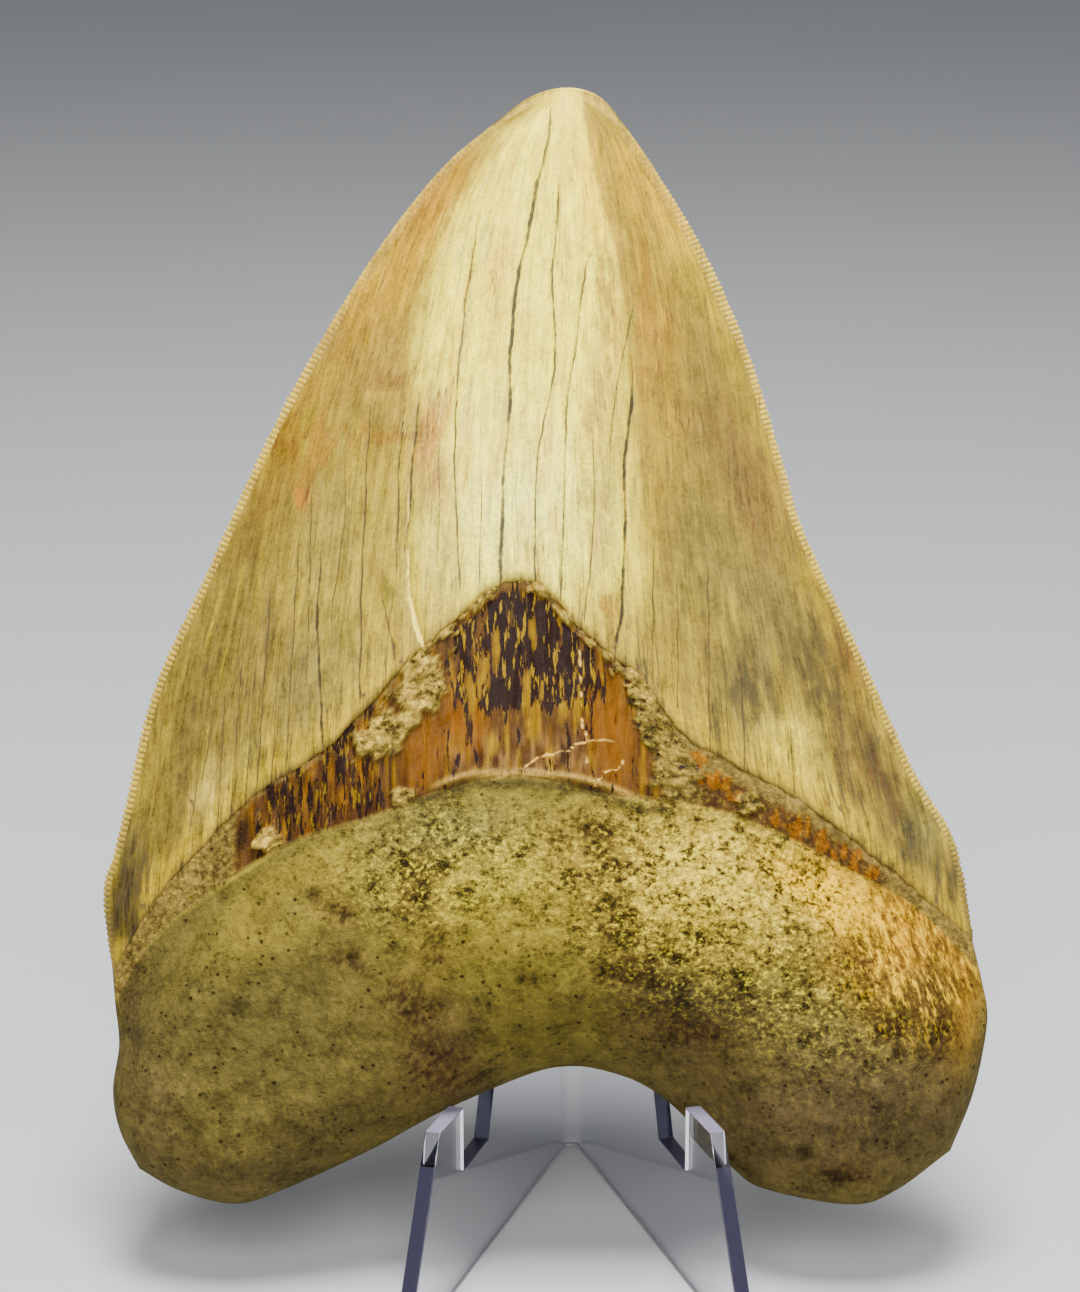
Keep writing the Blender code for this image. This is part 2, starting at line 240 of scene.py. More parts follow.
def edges_at(v):
    """Left and right edge of the tooth at each height."""
    left = np.vstack([smooth(ROOT_LEFT), smooth(CROWN_LEFT), [(-0.4, TIP_V)]])
    right = np.vstack([smooth(ROOT_RIGHT), smooth(CROWN_RIGHT), [(-0.4, TIP_V)]])
    return (np.interp(v, left[:, 1], left[:, 0]), np.interp(v, right[:, 1], right[:, 0]))


def cross_position(u, v):
    """-1 at the left edge of the tooth and 1 at its right edge."""
    lo, hi = edges_at(v)
    return np.clip((2 * u - lo - hi) / (hi - lo + 1e-6), -1, 1)


def fanned(u, v):
    """Across the crown as the growth lines run: halfway between straight up the tooth and
    following its narrowing sides."""
    return 0.55 * u + 0.45 * 40.0 * cross_position(u, v)


def outline_distance(u, v):
    """Distance to the nearest of the straight steps that make the root's outline."""
    loop = np.vstack([smooth(CROWN_LEFT[:4], 6)[::-1], smooth(ROOT_LEFT, 6)[::-1],
                      smooth(BASE, 6), smooth(ROOT_RIGHT, 6), smooth(CROWN_RIGHT[:5], 6)])
    best = np.full(np.shape(u), 1e9)
    for a, b in zip(loop[:-1], loop[1:]):
        best = np.minimum(best, np.hypot(*from_segment(u, v, a, b)))
    return best


def crown_front(u, v):
    """Front of the crown: a height that falls towards the tip, times 1 - |x|^1.85."""
    swell = np.interp(v, *np.array(CROWN_FRONT).T) * round_over(TIP_V - v, 7.0)
    return swell * (1 - np.abs(cross_position(u, v))**1.85)


def crown_back(u, v):
    """Back of the crown: nearly flat, falling off as 1 - |x|^2.6."""
    swell = np.interp(v, *np.array(CROWN_BACK).T) * round_over(TIP_V - v, 7.0)
    return -swell * (1 - np.abs(cross_position(u, v))**2.6)


def root_front(u, v):
    """Front of the root: a bulge, broad lumps, and a quarter circle in from the outline."""
    over = 11.0 + 14.0 * blob(u, v, (15.5, 8.0), (7, 9)) - 5.5 * blob(u, v, (-14, 11), (7, 9))
    depth = 10.0 + 6.6 * blob(u, v, (-2, 37), (27, 15))
    depth = depth + 0.8 * blob(u, v, (-36, 24), (11, 12)) + 0.8 * blob(u, v, (33, 22), (11, 12))
    depth = depth + 0.35 * noise(u / 9, v / 9, 11) + 0.2 * noise(u / 4.5, v / 4.5, 12)
    return depth * round_over(outline_distance(u, v), over)


def root_back(u, v):
    """Back of the root: flat between the posts, fuller on the lobes."""
    depth = 4.75 + ease((np.abs(u) - 15) / 12) * (1.4 + 0.4 * noise(u / 8, v / 8, 13))
    return -depth * round_over(outline_distance(u, v), 8.0)


# %% [markdown]
# Cracks.
# Enamel dries and splits along its height, so the cracks run up the tooth side by side.
# All of them share one number for each point: the distance to the nearest crack, with a sign
# that flips at each crack. It passes straight through zero there, so a line much finer than
# the mesh stays sharp, and the same number cuts the groove and colours it.

# %% Cracks of the front, left to right: (points up the tooth), half width, pale or dark
CRACKS = [
    ([(-45.8, 43), (-44.5, 52)], 0.06, 0), ([(-44.2, 50), (-42.6, 60)], 0.06, 0),
    ([(-42.3, 43), (-41.4, 62)], 0.07, 0), ([(-40.6, 46), (-39.2, 68)], 0.08, 0),
    ([(-38.8, 47), (-37.6, 66)], 0.07, 0), ([(-37.4, 49), (-35.9, 75)], 0.09, 0),
    ([(-35.6, 50), (-34.6, 70)], 0.07, 0), ([(-33.8, 52), (-32.6, 80)], 0.09, 0),
    ([(-31.4, 62), (-31.2, 86)], 0.06, 0),
    ([(-29.4, 54.3), (-29.8, 62.2), (-30.3, 68.4), (-29.9, 77.5)], 0.21, 0),
    ([(-28.6, 69), (-27.1, 81.3), (-27.0, 91.1)], 0.08, 0),
    ([(-25.0, 60), (-24.9, 76.4), (-24.5, 86.1), (-24.0, 96.0)], 0.11, 0),
    ([(-20.8, 63.7), (-22.5, 72.9)], 0.10, 0),
    ([(-20.8, 74.4), (-20.6, 85.9), (-20.1, 92.7), (-19.4, 98.6)], 0.12, 0),
    ([(-17.3, 65.0), (-18.5, 68.6), (-19.3, 72.7), (-19.7, 78.8)], 0.40, 1),
    ([(-19.75, 78.0), (-19.2, 84.2), (-18.5, 91.7), (-18.1, 96.9)], 0.20, 0),
    ([(-15.9, 76), (-15.6, 92)], 0.06, 0),
    ([(-13.2, 73.3), (-13.8, 83.7), (-13.8, 92.6), (-13.5, 99.4), (-12.7, 107.5),
      (-11.8, 113.4), (-11.0, 118.9)], 0.11, 0),
    ([(-10.9, 74), (-10.6, 88)], 0.06, 0),
    ([(-8.4, 74.0), (-8.1, 85.7), (-7.3, 94.2), (-7.3, 101.1), (-6.9, 106.2), (-6.3, 111.2),
      (-4.9, 116.8), (-4.1, 122.3), (-2.6, 127.9), (-2.4, 132.8)], 0.24, 0),
    ([(-4.3, 73.3), (-4.3, 83.4), (-3.9, 89.5), (-3.0, 93.9), (-1.9, 99.4), (-1.9, 103.5),
      (-2.3, 111.2), (-1.5, 118.1), (-1.4, 123.0)], 0.12, 0),
    ([(-1.2, 72), (-1.0, 78.7), (-0.6, 91.6), (-0.5, 95.9), (0.5, 101.1), (1.0, 106.3),
      (1.8, 111.9), (3.2, 116.1)], 0.11, 0),
    ([(1.5, 69.2), (2.3, 75.2), (2.8, 83.5), (2.6, 92)], 0.10, 0),
    ([(4.7, 90), (5.3, 96.1), (6.3, 101.3), (7.7, 108.2)], 0.10, 0),
    ([(5.2, 66.0), (6.0, 69.9), (6.3, 77.3), (6.5, 81.2), (6.3, 87.6), (7.2, 94.4),
      (7.5, 99.6)], 0.22, 0),
    ([(9.6, 62), (9.9, 80)], 0.06, 0), ([(12.6, 59), (12.7, 76)], 0.05, 0),
    ([(16.4, 53.7), (16.4, 62.2), (16.4, 76.3)], 0.11, 0),
    ([(18.6, 54), (18.4, 64)], 0.05, 0),
    ([(20.6, 52.0), (20.3, 65.2)], 0.11, 0), ([(23.4, 51), (23.0, 62)], 0.05, 0),
    ([(26.6, 49), (26.0, 59)], 0.05, 0),
]
CRACK_WIDTH = 0.6  # the share of those half widths that is used


def crack_field(u, v):
    """The signed distance to the nearest crack, that crack's half width where the point
    is, which tapers to nothing at its two ends, and whether it is filled with pale grit."""
    best = np.full(np.shape(u), 99.0)
    half, pale, sign = np.zeros(np.shape(u)), np.zeros(np.shape(u)), np.ones(np.shape(u))
    bend = 0.13 * noise(u / 40 + 9, v / 3.5, 21) + 0.06 * noise(u / 40, v / 1.1, 22)
    for points, width, filled in CRACKS:
        offset = u + bend - sideways(points, v)
        sign = sign * np.where(offset < 0, -1.0, 1.0)
        low, high = min(p[1] for p in points), max(p[1] for p in points)
        taper = ease((v - low + 1.0) / 1.5) * ease((high + 1.0 - v) / (2.5 if filled else 6.0))
        here = np.abs(offset) < best
        best = np.where(here, np.abs(offset), best)
        half = np.where(here, CRACK_WIDTH * width * taper, half)
        pale = np.where(here, float(filled), pale)
    return best * sign, half, pale


print(len(CRACKS), "cracks")

# %% [markdown]
# Grids and closed shells.
# A patch fills the space between four curves. Each row of the tooth is then a ring: its front
# points from left to right, and its back points from right to left. Rings stacked up make a
# closed skin once a strip closes the first and the last.

# %% Patches, rings and meshes
def patch(low, high, left, right, s, t):
    """A grid between four curves that meet at their ends: the two blends, of low with high
    and of left with right, added, less the blend of the four corners."""
    s, t = s[None, :, None], t[:, None, None]
    c0, c1, c2, c3 = low[None], high[None], left[:, None], right[:, None]
    corners = ((1 - s) * ((1 - t) * c0[:, :1] + t * c1[:, :1])
               + s * ((1 - t) * c0[:, -1:] + t * c1[:, -1:]))
    return (1 - t) * c0 + t * c1 + (1 - s) * c2 + s * c3 - corners


def placed(points):
    """From the tooth's plane to the upright frame: v leans back by the sine of the lean,
    and w comes forward and up."""
    u, v, w = points.T
    return np.stack([REST[0] + u,
                     REST[1] + v * np.sin(LEAN) - w * np.cos(LEAN),
                     REST[2] + v * np.cos(LEAN) + w * np.sin(LEAN)], -1) * MM


def side_quads(rows, around):
    """Quads between stacked rings of points."""
    i, j = np.meshgrid(np.arange(rows - 1), np.arange(around), indexing="ij")
    k = (j + 1) % around
    quads = np.stack([i * around + j, i * around + k, (i + 1) * around + k,
                      (i + 1) * around + j], -1)
    return [tuple(f) for f in quads.reshape(-1, 4)]


def ring_faces(rows, around, front_columns):
    """Quads between the rings, and a strip of quads across each end ring, joining each
    front point to the back point behind it."""
    last = front_columns - 1
    j = np.arange(1, last - 1)
    caps = list(np.stack([j, j + 1, around - j - 1, around - j], -1))
    caps += [np.array([0, 1, around - 1]), np.array([last - 1, last, last + 1])]
    top = (rows - 1) * around
    return (side_quads(rows, around) + [tuple(f[::-1]) for f in caps]
            + [tuple(f + top) for f in caps])


# %% [markdown]
# Making a piece.
# Every piece is a mesh made from arrays of points and faces. It rides on the part's one body,
# takes a material slot of the part, and may stand in for one of its solids.

# %% Making a piece
def add_object(name, data):
    """Put a mesh, curve, light or camera into the scene."""
    made = bpy.data.objects.new(name, data)
    bpy.context.scene.collection.objects.link(made)
    return made


def make_piece(name, spots, faces, fields, node, material):
    """A mesh from points and faces, turned to face outwards by the sign of its volume, with
    its named fields as point attributes."""
    points = np.asarray(spots)
    fan = np.array([(f[0], f[k], f[k + 1]) for f in faces for k in range(1, len(f) - 1)])
    a, b, c = (points[fan[:, k]] for k in range(3))
    volume = (a * np.cross(b, c)).sum() / 6
    if volume < 0:
        faces = [tuple(reversed(f)) for f in faces]
    mesh = bpy.data.meshes.new(name)
    mesh.from_pydata(points.tolist(), [], [tuple(int(k) for k in f) for f in faces])
    mesh.polygons.foreach_set("use_smooth", np.ones(len(faces), bool))
    for key, values in fields.items():
        kind, slot_name = {1: ("FLOAT", "value"), 2: ("FLOAT_VECTOR", "vector")}[values.ndim]
        mesh.attributes.new(key, kind, "POINT").data.foreach_set(
            slot_name, np.ascontiguousarray(values, dtype=np.float32).ravel())
    mesh.materials.append(material)
    mesh.update()
    piece = add_object(name, mesh)
    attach(piece, "root")
    if node:
        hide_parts(node)
    print(f"{name}: {len(fan)} triangles, {abs(volume) * 1e6:.2f} cubic cm")
    return piece


def shell(front_grid, back_grid):
    """Rings from a front and a back grid of points with the same rows and columns."""
    return np.concatenate([front_grid, back_grid[:, -2:0:-1]], axis=1)


def shell_field(front_values, back_values):
    """The same for a field: one value, or one colour, for every ring point."""
    joined = shell(front_values, back_values)
    return joined.reshape((-1,) + joined.shape[2:])


# %% [markdown]
# Colours laid by hand.
# The enamel is ivory in the middle, golden along the upper left edge, tan on the right and
# olive low down, with amber and rust stains. Each is a soft patch at a place read off the
# tooth, and noise breaks up its edge. Colours are written as they look on a screen.

# %% Laying colours
LIGHT_LEVEL = 2.9
FILM_BLEND = np.array([[0.610, 0.417, -0.028], [0.036, 1.152, -0.188], [0.049, 0.130, 0.820]])
FILM_SPREAD = np.array([[1.671, -0.621, -0.050], [-0.103, 0.990, 0.113], [-0.126, -0.134, 1.260]])


def screen(red, green, blue):
    """The paint that looks like this screen colour, 0 to 255, under the lights below. The
    viewer's film curve is undone: the colour to the power 2.475 is blended between its
    channels, each goes through exp(0.56 ln(t / (1 - t)) + 1.68 t - 0.96), and the result
    is spread again."""
    t = np.clip(FILM_BLEND @ (np.array([red, green, blue]) / 255)**2.475, 0.0005, 0.985)
    light = FILM_SPREAD @ np.exp(0.5637 * np.log(t / (1 - t)) + 1.6821 * t - 0.9644)
    return np.clip(light / LIGHT_LEVEL, 0.001, 0.9)


def lay(ground, mask, colour):
    """Cover the ground with a colour as far as the mask says."""
    return ground + np.clip(mask, 0, 1)[..., None] * (screen(*colour) - ground)


def lay_all(ground, *layers):
    """Cover the ground with (mask, colour) layers, one after the other."""
    for mask, colour in layers:
        ground = lay(ground, mask, colour)
    return ground


def lay_stains_and_painted_light(ground, stains, u, v, power, share=1.0):
    """Cover the ground with a table of stains, which may hold painted highlights and shade, as far
    as a share says.
    """
    for at, spread, turn, colour, strength in stains:
        ground = lay(ground, strength * share * blob(u, v, at, spread, turn, power), colour)
    return ground


def one_colour(u, colour):
    """The same colour at every point."""
    return np.ones(np.shape(u) + (3,)) * screen(*colour)


# %% [markdown]
# The crown's grid.
# The enamel ends low on the front in a rough, chipped line, so that line gets small bites.
# Under it the skin turns inwards, which leaves a real edge for light to catch.

# %% Crown points
CROWN_COLUMNS, CROWN_ROWS = 240, 190


def chipped(u):
    """The enamel's lower edge: its line, plus small uneven bites."""
    bite = 0.55 * rough(u / 2.6, u * 0 + 0.5, 31) + 0.25 * rough(u / 0.8, u * 0 + 0.5, 35)
    return height(ENAMEL, u) + (bite + 0.1) * span(u, -55, 48.3, 5)


def crown_grid(line, bitten):
    """Rows (u, v) from the enamel's edge to the tip, between the two cutting edges."""
    s, t = np.linspace(0, 1, CROWN_COLUMNS + 1), np.linspace(0, 1, CROWN_ROWS + 1)
    low = across(line, s)
    if bitten:
        low[:, 1] = chipped(low[:, 0])
    return patch(low, across(TIP, s), along(CROWN_LEFT, t), along(CROWN_RIGHT, t), s, t**1.12)


FACET_LEFT = [(-3.1, 132.5), (-7.3, 129.3), (-11.0, 123.0), (-14.0, 118.7), (-15.8, 113.7),
              (-17.0, 109.4), (-18.1, 101.9), (-18.0, 95.7), (-17.5, 88.0), (-19.5, 74.0)]
FACET_RIGHT = [(1.5, 131.1), (2.6, 125.4), (3.6, 120.4), (5.6, 113.0), (6.2, 108.0),
               (6.2, 100.0), (6.6, 92.0), (8.0, 80.0), (9.0, 70.0)]


def crown_relief(u, v, split, half):
    """What the smooth form lacks: the facet's crease, growth waves, grooves along the
    cracks as exp(-(distance / width)^2), and a worn, rounded lower edge."""
    right = u - sideways(FACET_RIGHT, v)
    left = sideways(FACET_LEFT, v) - u
    crease = (-0.30 * ease(right / 5) * ease((v - 98) / 10)
              - 0.22 * ease(left / 6) * ease((v - 90) / 12))
    waves = 0.10 * noise(u / 5, v / 14, 41) + 0.035 * noise(u / 1.1, v / 9, 42)
    groove = -0.9 * half * falloff(split, 0.16 + 0.9 * half)
    worn = -0.22 * (1 - ease((v - chipped(u)) / 1.4)) * (1 + 0.8 * rough(u / 1.2, v / 1.2, 43))
    x = np.abs(cross_position(u, v))
    return (crease + waves + groove) * ease((1 - x) / 0.08) + worn * ease((1 - x) / 0.04)


front_uv = crown_grid(ENAMEL, True)
back_uv = crown_grid(BACK_ENAMEL, False)
u, v = front_uv[..., 0], front_uv[..., 1]
split, half, pale = crack_field(u, v)
w = crown_front(u, v) + crown_relief(u, v, split, half)
w[-1] = 0.15
w[:, [0, -1]] = 0.0
crown_face = np.dstack([u, v, w])
bu, bv = back_uv[..., 0], back_uv[..., 1]
bw = crown_back(bu, bv) + 0.08 * noise(bu / 5, bv / 14, 44)
bw = np.minimum(bw, -0.02)
bw[-1] = -0.15
bw[:, [0, -1]] = 0.0
crown_rear = np.dstack([bu, bv, bw])
print("crown grid", crown_face.shape, "front up to", round(float(w.max()), 2), "mm")

# %% [markdown]
# Stains, painted highlights and painted shade of the enamel.
# Minerals stained the tooth while it lay buried, so every stain has a place of its own. The
# sheens in the tables are painted highlights, and the olive left flank is partly painted shade.
# The first table goes from the tip down, the left side first. Noise shifts the place at which a
# stain is looked up, which frays its edge. Late stains go over the pale middle, in patches.

# %% Crown stains
CROWN_STAINS_AND_PAINTED_LIGHT = [
    # at, spread, turn, colour, strength
    ((-21.5, 111.5), (4.2, 17.0), -38, (210, 174, 64), 0.95),  # golden band, upper left
    ((-15.5, 121.5), (2.6, 6.5), -44, (208, 166, 58), 0.8),
    ((-27.5, 101.5), (2.6, 8.0), -30, (190, 158, 72), 0.7),
    ((-22.5, 99.5), (5.0, 6.0), -20, (192, 162, 92), 0.8),  # pinkish tan below it
    ((-34.0, 91.5), (3.4, 5.0), -28, (188, 150, 46), 0.95),  # amber patch at the left edge
    ((-37.6, 83.0), (3.0, 8.0), -25, (171, 135, 50), 0.8),
    ((-32.0, 84.2), (0.8, 1.6), 0, (202, 150, 21), 0.95),
    ((-30.0, 90.5), (1.0, 4.0), -10, (193, 142, 44), 0.6),
    ((-24.0, 91.7), (6.0, 0.7), 2, (187, 141, 53), 0.6),  # its stained line
    ((-21.5, 98.6), (3.6, 0.5), 6, (160, 114, 46), 0.6),
    ((-16.6, 93.0), (1.6, 4.0), -16, (180, 117, 62), 0.7),  # rust beside the pale middle
    ((-16.2, 86.0), (1.7, 2.8), 0, (187, 132, 68), 0.6),
    ((-29.0, 78.0), (6.0, 9.0), -10, (193, 174, 108), 0.6),
    # The olive left flank is partly its stain and partly painted shade, where the flank turns from
    # the light.
    ((-42.5, 68.0), (5.5, 15.0), -22, (162, 137, 68), 0.8),  # olive left flank
    ((-36.5, 66.5), (1.2, 6.5), -6, (136, 116, 74), 0.55),  # its grey streaks
    ((-33.0, 61.0), (0.9, 6.0), -4, (144, 123, 78), 0.5),
    ((-29.0, 62.0), (4.5, 9.0), -8, (178, 162, 101), 0.6),
    # Pale sheen, low left: a painted highlight.
    ((-43.5, 48.5), (2.6, 4.5), 10, (212, 194, 142), 0.85),  # pale sheen, low left
    ((-38.0, 52.5), (2.2, 4.0), 0, (193, 178, 110), 0.6),
    ((-47.5, 42.0), (3.5, 7.0), -20, (151, 126, 58), 0.8),
    ((-53.2, 34.0), (2.8, 8.5), -5, (84, 62, 27), 0.95),  # brown shoulder, left
    ((-49.6, 35.0), (2.0, 5.0), -30, (136, 105, 40), 0.7),
    ((-36.0, 53.0), (6.5, 1.5), 38, (186, 160, 65), 0.7),  # yellow above the band
    ((-25.0, 59.5), (5.0, 1.4), 42, (182, 158, 71), 0.6),
    ((-22.2, 71.6), (0.6, 1.7), 0, (166, 146, 30), 0.75),  # small olive marks
    ((-21.6, 72.6), (1.3, 0.5), 10, (166, 146, 30), 0.6),
    ((-25.2, 69.0), (0.7, 0.9), 0, (167, 142, 41), 0.6),
    ((7.6, 122.0), (3.2, 9.0), 24, (206, 174, 74), 0.85),  # tan, right of the tip
    ((11.6, 119.0), (1.6, 9.0), 26, (216, 182, 80), 0.8),  # golden along the edge
    ((8.6, 112.5), (1.5, 6.0), 4, (190, 152, 56), 0.85),  # amber streaks
    ((11.0, 104.5), (1.9, 6.0), -4, (192, 154, 56), 0.8),
    ((16.5, 108.0), (3.0, 10.0), 22, (208, 182, 88), 0.7),
    ((19.5, 100.0), (2.2, 6.0), 20, (189, 164, 68), 0.7),
    ((11.2, 96.0), (2.6, 6.0), 0, (198, 164, 68), 0.7),
    ((16.8, 95.0), (4.0, 8.5), 12, (169, 139, 68), 0.8),
    # Warm sheen near the edge: a painted highlight.
    ((22.0, 86.0), (3.6, 9.0), 20, (186, 146, 71), 0.75),  # warm sheen near the edge
    ((10.5, 83.0), (2.6, 8.0), 0, (193, 160, 72), 0.6),
    ((14.0, 70.0), (6.0, 12.0), 6, (180, 156, 78), 0.7),  # low right
    ((23.5, 72.0), (5.0, 9.0), 22, (167, 146, 83), 0.8),
    ((30.2, 72.0), (1.3, 6.0), 24, (186, 158, 46), 0.8),  # yellow green along the edge
    ((33.4, 62.0), (1.6, 6.0), 24, (187, 144, 55), 0.7),
    ((23.0, 60.5), (1.0, 7.0), 2, (146, 126, 74), 0.55),
    # Pale sheen, low right: a painted highlight.
    ((25.5, 55.5), (6.0, 2.8), -30, (217, 199, 136), 0.85),  # pale sheen, low right
    ((32.6, 52.5), (1.2, 7.5), 14, (146, 114, 40), 0.8),
    ((36.6, 50.0), (1.2, 7.0), 22, (169, 134, 49), 0.7),
    ((29.5, 49.2), (9.0, 1.3), -36, (206, 183, 89), 0.8),  # yellow rim, low right
    ((42.0, 45.0), (2.4, 4.0), 20, (178, 166, 108), 0.7),
    ((44.6, 37.0), (3.4, 4.0), 30, (113, 93, 46), 0.85),  # olive shoulder, right
]
LATE_STAINS_AND_PAINTED_LIGHT = [
    ((-16.4, 92.5), (1.9, 4.6), -14, (216, 170, 112), 0.75),  # rust on the pale middle
    ((-16.2, 85.5), (2.1, 3.0), 0, (200, 152, 96), 0.7),
    ((-23.5, 91.7), (7.5, 0.8), 2, (192, 148, 56), 0.6),  # two stained lines
    ((-21.5, 98.4), (4.2, 0.7), 6, (166, 122, 54), 0.6),
    ((-32.0, 84.4), (0.9, 2.0), 0, (206, 150, 8), 1.0),  # bright amber drop
    ((-31.0, 88.4), (0.8, 2.4), -8, (204, 152, 30), 0.6),
    ((-4.0, 76.0), (1.1, 4.0), 0, (200, 170, 84), 0.6),  # yellow at the peak
    ((4.6, 70.6), (1.7, 1.5), 0, (192, 148, 40), 0.7),
    ((1.0, 73.5), (1.0, 3.0), 10, (206, 178, 96), 0.5),
    ((8.6, 104.0), (1.0, 11.0), -2, (196, 150, 56), 0.55),  # amber beside the middle
    ((-29.5, 103.5), (2.2, 4.5), -30, (176, 146, 80), 0.6),
    ((-29.0, 81.5), (2.6, 6.0), -5, (180, 158, 92), 0.6),
    ((-32.8, 62.0), (3.4, 7.0), -8, (162, 141, 86), 0.65),  # greyer left flank
    ((-40.0, 57.0), (3.0, 6.5), -12, (152, 130, 68), 0.75),
    ((-46.0, 55.0), (2.8, 8.0), -20, (148, 126, 64), 0.75),
    ((-52.2, 42.5), (1.8, 4.5), -8, (124, 108, 62), 0.75),  # left shoulder
    ((-53.6, 35.5), (1.9, 7.0), -4, (74, 58, 28), 0.95),
    ((-1.3, 131.6), (2.4, 2.6), 0, (240, 210, 140), 0.8),  # warmer pale tones
    ((2.6, 121.0), (1.5, 6.5), 8, (236, 208, 146), 0.8),
    ((4.7, 108.5), (1.6, 9.0), 3, (206, 176, 108), 0.85),
    ((-8.6, 112.4), (1.4, 5.0), -3, (224, 198, 132), 0.75),
    ((3.8, 95.0), (2.0, 9.0), 1, (204, 180, 118), 0.85),
    ((3.0, 81.5), (2.4, 7.5), 0, (202, 182, 122), 0.85),
    ((-14.6, 77.0), (2.2, 7.0), -3, (206, 186, 126), 0.8),
    ((15.8, 105.0), (2.6, 7.0), 18, (174, 146, 70), 0.8),  # right flank
    ((20.5, 86.5), (3.6, 9.0), 18, (160, 133, 68), 0.7),
    ((15.7, 77.5), (4.6, 8.5), 6, (156, 134, 64), 0.8),
    ((29.6, 63.0), (3.4, 9.0), 24, (118, 96, 40), 0.95),  # its olive lower part
    ((20.5, 60.5), (3.8, 6.5), 8, (116, 98, 50), 0.95),
    ((37.2, 52.0), (2.4, 7.0), 28, (108, 82, 28), 0.95),
    ((40.2, 43.2), (3.2, 5.0), 30, (118, 96, 40), 0.95),
    # Pale sheen, low right: a painted highlight.
    ((25.6, 53.6), (3.2, 1.7), -32, (220, 200, 132), 0.8),  # pale sheen, low right
]


# %% [markdown]
# Laying the enamel's colours.
# The facet in the middle is pale and sharp-edged at the tip, and soft lower down. All of it is
# worked out once for each point, so the cutting edges can be coloured by the same function.

# %% Crown colours
def crown_ground(u, v):
    """Base colour of the enamel: darker sides, partly painted shade, the stains with their painted
    highlights, the pale middle, mist and flecks along the growth lines, a yellow fringe and a dark
    rim low down, pale upper edges, and the late stains with one more painted highlight."""
    f = fanned(u, v)
    ju = u + 1.3 * rough(u / 5, v / 7, 51) + 0.9 * rough(f / 1.3, v / 9, 53)
    jv = v + 2.6 * rough(u / 4, v / 9, 55) + 3.0 * rough(f / 1.1, v / 12, 57)
    x = np.abs(cross_position(u, v))
    # Darker towards the sides: partly the enamel's tone, partly painted shade of the flanks turning
    # from the light.
    ground = lay(one_colour(u, (200, 176, 98)), ease((x - 0.35) / 0.5) * 0.6, (170, 146, 72))
    ground = lay_stains_and_painted_light(ground, CROWN_STAINS_AND_PAINTED_LIGHT, ju, jv, 2.4)

    right = sideways(FACET_RIGHT, v) - u - 0.25 * rough(u, v / 2, 61)
    left = u - sideways(FACET_LEFT, v) + 1.5 * rough(u / 1.6, v / 7, 63)
    soft = 0.7 + 5.0 * ease((112 - v) / 20)
    middle = ease(right / soft + 0.5) * ease(left / 5.0 + 0.5) * ease((v - 66) / 10)
    dim = ease((100 - v) / 8) * (0.45 * ease((-12 - u) / 4) + 0.35 * ease((u - 2) / 3))
    ground = lay_all(ground, (0.95 * middle * (1 - dim), (254, 221, 182)),
                     (0.7 * middle * blob(u, v, (-6.0, 83), (9, 10)), (254, 235, 208)))
    flank = 1 - middle
    for where, wide, tall, seed, gain, lift, colour in (
            (0.55 * middle, 1.6, 12, 67, 2.4, 0.1, (224, 198, 134)),
            (0.5 * middle * ease((-3 - u) / 8), 1.2, 10, 68, 2.4, -0.15, (206, 196, 162)),
            (0.42 * flank, 1.5, 14, 69, 2.6, -0.1, (148, 120, 52)),
            (0.45 * flank, 1.2, 11, 70, 2.6, -0.25, (204, 182, 102))):
        ground = lay(ground, where * ease(gain * rough(f / wide, v / tall, seed) + lift), colour)

    above = v - chipped(u)
    fringe = ease((5.5 + 4.0 * noise(f / 0.8, v * 0, 73) - above) / 4)
    edge = 1 - ease((1 - x) / 0.035)
    ground = lay_all(ground, (0.55 * fringe * ease((np.abs(u + 4) - 12) / 6), (212, 186, 84)),
                     (0.7 * (1 - ease((above - 0.1) / 1.1)), (160, 132, 72)),
                     (0.35 * edge * ease((v - 60) / 30), (224, 202, 142)))
    patchy = ease(0.8 + 1.1 * rough(f / 0.9, v / 2.5, 74))
    return lay_stains_and_painted_light(ground, LATE_STAINS_AND_PAINTED_LIGHT, ju, jv, 3.0, patchy)


ground = crown_ground(u, v)
RUST = [((-1.5, 119.0), (0.6, 2.4), 0), ((-1.9, 111.5), (0.8, 2.0), 0),
        ((-9.2, 111.5), (1.2, 4.0), 0), ((-14.6, 97.0), (1.6, 2.6), -20),
        ((-34.4, 91.5), (3.2, 5.0), -28), ((-16.6, 92.5), (1.8, 4.5), -16),
        ((-16.2, 85.0), (1.9, 3.0), 0), ((-24.0, 91.7), (6.5, 0.8), 2),
        ((-21.5, 98.6), (4.0, 0.6), 6), ((-31.5, 85.5), (1.0, 3.0), 0),
        ((-30.0, 104.0), (1.6, 6.0), -30), ((-20.0, 117.5), (1.2, 5.0), -42),
        ((13.8, 93.0), (3.0, 3.0), 0), ((11.0, 104.0), (1.2, 8.0), -4),
        ((21.0, 84.0), (2.6, 6.0), 20), ((32.6, 54.0), (1.6, 8.0), 14),
        ((37.6, 49.0), (1.4, 6.0), 22), ((31.5, 70.0), (1.4, 8.0), 24),
        ((30.8, 47.6), (2.0, 1.2), -40), ((4.6, 70.8), (1.8, 1.6), 0),
        ((-3.9, 77.0), (0.8, 5.0), 0)]
rust = np.clip(blobs(u, v, RUST, 2.6), 0, 1)
streak = rough(fanned(bu, bv) / 2.2, bv / 24, 75)
rear_ground = lay_all(one_colour(bu, (204, 190, 156)), (ease(0.35 + 1.3 * streak), (182, 164, 124)),
                      (0.6 * ease(-0.2 - 1.6 * streak), (164, 138, 92)))
